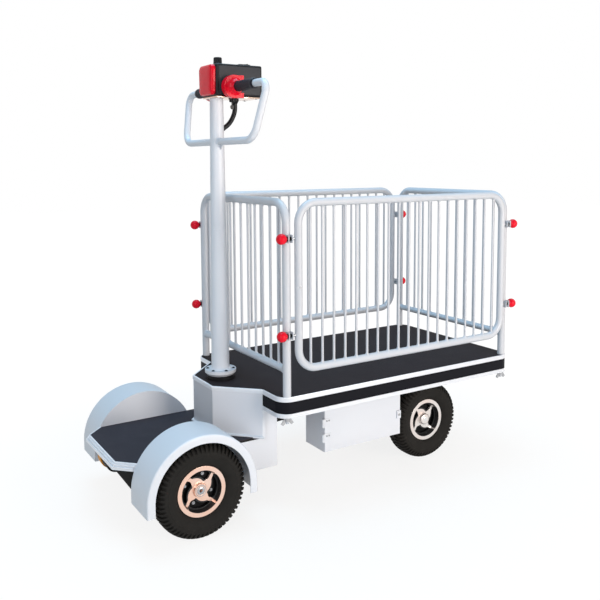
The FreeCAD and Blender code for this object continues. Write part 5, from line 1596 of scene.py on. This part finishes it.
def knob_side(count):
    """The speed knob: P(a, k) = r_k (1 + rib depth x rib(a) x share_k), the ribs being a
    flattened wave round its side."""
    centre = middle("speed_knob")
    z0, z1 = low("speed_knob")[2], high("speed_knob")[2]
    profile = np.array([
        (0.0, z0, 0), (0.0145, z0, 0), (0.0145, z0 + 0.004, 0), (0.0138, z0 + 0.005, 0),
        (0.0130, z0 + 0.0056, 1), (0.0124, z1 - 0.0024, 1), (0.0120, z1 - 0.001, 0.6),
        (0.0110, z1, 0), (0.0, z1, 0)])
    angle = np.linspace(0, 2 * np.pi, count * 6, endpoint=False)[:, None]
    wave = np.clip(np.cos(count * angle) * 1.6, -1, 1)
    radius = profile[:, 0] + 0.0005 * wave * profile[:, 2]
    points = np.stack([
        centre[0] + radius * np.cos(angle), centre[1] + radius * np.sin(angle),
        profile[:, 1] + 0 * angle], -1)
    return grid(points, wrap_u=True)


def pad_surface():
    """The safety pad: a rounded outline that narrows a little downwards, drawn in towards the
    driver along a curve that bulges."""
    lo, hi = low("stop_button"), high("stop_button")
    half = hi[1]
    corners = [(-half + 0.003, lo[2]), (half - 0.003, lo[2]), (half, hi[2]), (-half, hi[2])]
    outline = rounded_loop(corners, [0.013, 0.013, 0.016, 0.016], 10)
    base, reach = hi[0], hi[0] - lo[0]
    centre = outline.mean(0)
    share = np.array([1, 1, 0.985, 0.955, 0.9, 0.8, 0.6, 0.3, 0.02])[:, None, None]
    out = np.array([0, 0.42, 0.62, 0.76, 0.87, 0.94, 0.975, 0.993, 1.0])[:, None, None]
    flat = centre + (outline - centre) * share
    rows = np.concatenate([base - reach * out + 0 * flat[..., :1], flat], -1)
    return grid(rows, wrap_v=True, caps=True)


PANEL_INSET = 0.007       # between a head panel and the housing's edges
CONDUIT_AHEAD = 0.064     # where the conduit leaves the head, in front of the column's middle
CONDUIT_RADIUS = 0.0075
CONDUIT_BEND = 0.068


class CART_OT_head(bpy.types.Operator):
    """The control head with its pad, knob, switch and lock, the base plate and the conduit"""

    bl_idname = "cart.head"
    bl_label = "Control head"

    def execute(self, context):
        lo, hi = low("control_box"), high("control_box")
        outline = rounded_box((-hi[1], hi[1]), (lo[2], hi[2]), 0.006, 6)
        piece("head_housing", [slab(outline, lo[0], hi[0], 0.0045, "x")],
              "black_plastic", "steering", nodes=["control_box"], angle=40)
        levels = (lo[2] + PANEL_INSET, hi[2] - PANEL_INSET)
        cheek = rounded_box((lo[0] + 0.010, hi[0] - 0.006), levels, 0.004, 5)
        sunk, proud = -0.001, 0.0007
        panels = [slab(cheek, side * (hi[1] + sunk), side * (hi[1] + proud), 0.0006, "y")
                  for side in (-1, 1)]
        front = rounded_box((-hi[1] + PANEL_INSET, hi[1] - PANEL_INSET), levels, 0.004, 5)
        panels.append(slab(front, hi[0] + sunk, hi[0] + proud, 0.0006, "x"))
        piece("head_panels", panels, "housing_plastic", "steering")
        piece("safety_pad", [pad_surface()], "red_plastic", "steering",
              nodes=["stop_button"], angle=60)
        piece("speed_dial", [knob_side(sizes().knob_ribs)], "black_plastic", "steering",
              nodes=["speed_knob"], angle=40)
        self.switch_and_lock()
        self.plate_and_conduit()
        return {"FINISHED"}

    def switch_and_lock(self):
        """The rocker switch in its surround, and the lock with its key."""
        lo, hi = low("power_switch"), high("power_switch")
        surround = rounded_box((lo[0], hi[0]), (lo[1], hi[1]), 0.002, 4)
        x, y = (lo[0] + hi[0]) / 2, (lo[1] + hi[1]) / 2
        rocker = [
            (x - 0.014, lo[2]), (x + 0.014, lo[2]), (x + 0.0135, hi[2] - 0.0002),
            (x + 0.006, hi[2] - 0.0016), (x - 0.004, hi[2] - 0.0024),
            (x - 0.0135, hi[2] - 0.0021)]
        piece("switch_surround", [slab(surround, lo[2], lo[2] + 0.003, 0.0008)],
              "black_plastic", "steering", nodes=["power_switch"])
        piece("switch_rocker", [prism(rocker, y - 0.008, y + 0.008, "y")], "black_gloss",
              "steering", bevel=0.0006)
        lo, hi = low("key_switch"), high("key_switch")
        centre = middle("key_switch")
        centre[2] = 0
        barrel = [
            (0, hi[2] - 0.012), (0.0068, hi[2] - 0.012), (0.0078, hi[2] - 0.0112),
            (0.009, hi[2] - 0.0100), (0.009, hi[2] - 0.003), (0.011, hi[2] - 0.003),
            (0.011, hi[2]), (0, hi[2])]
        piece("lock_barrel", [turned(barrel, centre, "z", 36)], "black_gloss", "steering",
              nodes=["key_switch"], slot="zinc_steel")
        turn = np.linspace(-0.42 * np.pi, 1.42 * np.pi, 25)
        bow = np.stack([
            centre[0] + 0.0062 * np.cos(turn), lo[2] + 0.0072 - 0.0072 * np.sin(turn)], -1)
        stem = [(centre[0] - 0.0022, hi[2] - 0.011), (centre[0] + 0.0022, hi[2] - 0.011)]
        key = np.concatenate([bow, stem])
        piece("lock_key", [prism(key, centre[1] - 0.001, centre[1] + 0.001, "y")],
              "black_gloss", "steering", slot="zinc_steel", bevel=0.0003)

    def plate_and_conduit(self):
        """The base plate with its screws, and the conduit that bends from it into the column."""
        lo, hi = low("control_base_plate"), high("control_base_plate")
        outline = rounded_box((lo[0], hi[0]), (lo[1], hi[1]), 0.004, 5)
        heads = [screw((x, y, lo[2]), "z", -1, 0.0034, 0.002)
                 for x in (lo[0] + 0.012, hi[0] - 0.012) for y in (lo[1] + 0.012, hi[1] - 0.012)]
        piece("head_plate", [slab(outline, lo[2], hi[2], 0.0008)], "brown_plating", "steering",
              nodes=["control_base_plate"])
        piece("plate_screws", heads, "zinc_plating", "steering")
        x, top = COLUMN_X, COLUMN_TOP
        points = [(x + CONDUIT_AHEAD, 0, top), (x + CONDUIT_AHEAD, 0, top - 0.042),
                  (x + 0.046, 0, top - 0.076), (x + 0.019, 0, top - 0.0956)]
        route = rounded(points, [CONDUIT_BEND] * 2, 10)
        gland = [(0, top), (0.0125, top), (0.0125, top - 0.006), (0.0112, top - 0.0075),
                 (0.0088, top - 0.013), (0.0074, top - 0.014), (0, top - 0.014)]
        piece("conduit_hose", [tube(route, CONDUIT_RADIUS, (0, 1, 0), 28)],
              "black_gloss", "steering", nodes=["control_conduit"], angle=50)
        piece("conduit_gland", [turned(gland, (x + CONDUIT_AHEAD, 0, 0), "z", 24)],
              "black_plastic", "steering")


# ---------------------------------------------------------------- add-on

OPERATORS = (
    CART_OT_stage, CART_OT_cage, CART_OT_bolts, CART_OT_deck, CART_OT_bodywork, CART_OT_platform,
    CART_OT_fenders, CART_OT_tyres, CART_OT_rims, CART_OT_running_gear, CART_OT_column,
    CART_OT_handle, CART_OT_head)
GROUPS = {"cart_sizes": CartSizes, "cart_colours": CartColours, "cart_light": CartLight}


class CART_PT_panel(bpy.types.Panel):
    """Lists the cart's settings and the pieces that can be built"""

    bl_idname = "CART_PT_panel"
    bl_label = "Platform cart"
    bl_space_type = "VIEW_3D"
    bl_region_type = "UI"
    bl_category = "Cart"

    def draw(self, context):
        for name, group in GROUPS.items():
            box = self.layout.box()
            for key in group.__annotations__:
                box.prop(getattr(context.scene, name), key)
        for operator in OPERATORS:
            self.layout.operator(operator.bl_idname)


CLASSES = (*GROUPS.values(), *OPERATORS, CART_PT_panel)


def register():
    for kind in CLASSES:
        bpy.utils.register_class(kind)
    for name, group in GROUPS.items():
        setattr(bpy.types.Scene, name, PointerProperty(type=group))


def unregister():
    for name in GROUPS:
        delattr(bpy.types.Scene, name)
    for kind in reversed(CLASSES):
        bpy.utils.unregister_class(kind)


def main():
    """Builds every piece."""
    register()
    for operator in OPERATORS:
        getattr(bpy.ops.cart, operator.bl_idname.split(".")[1])()


if __name__ == "__main__":
    main()
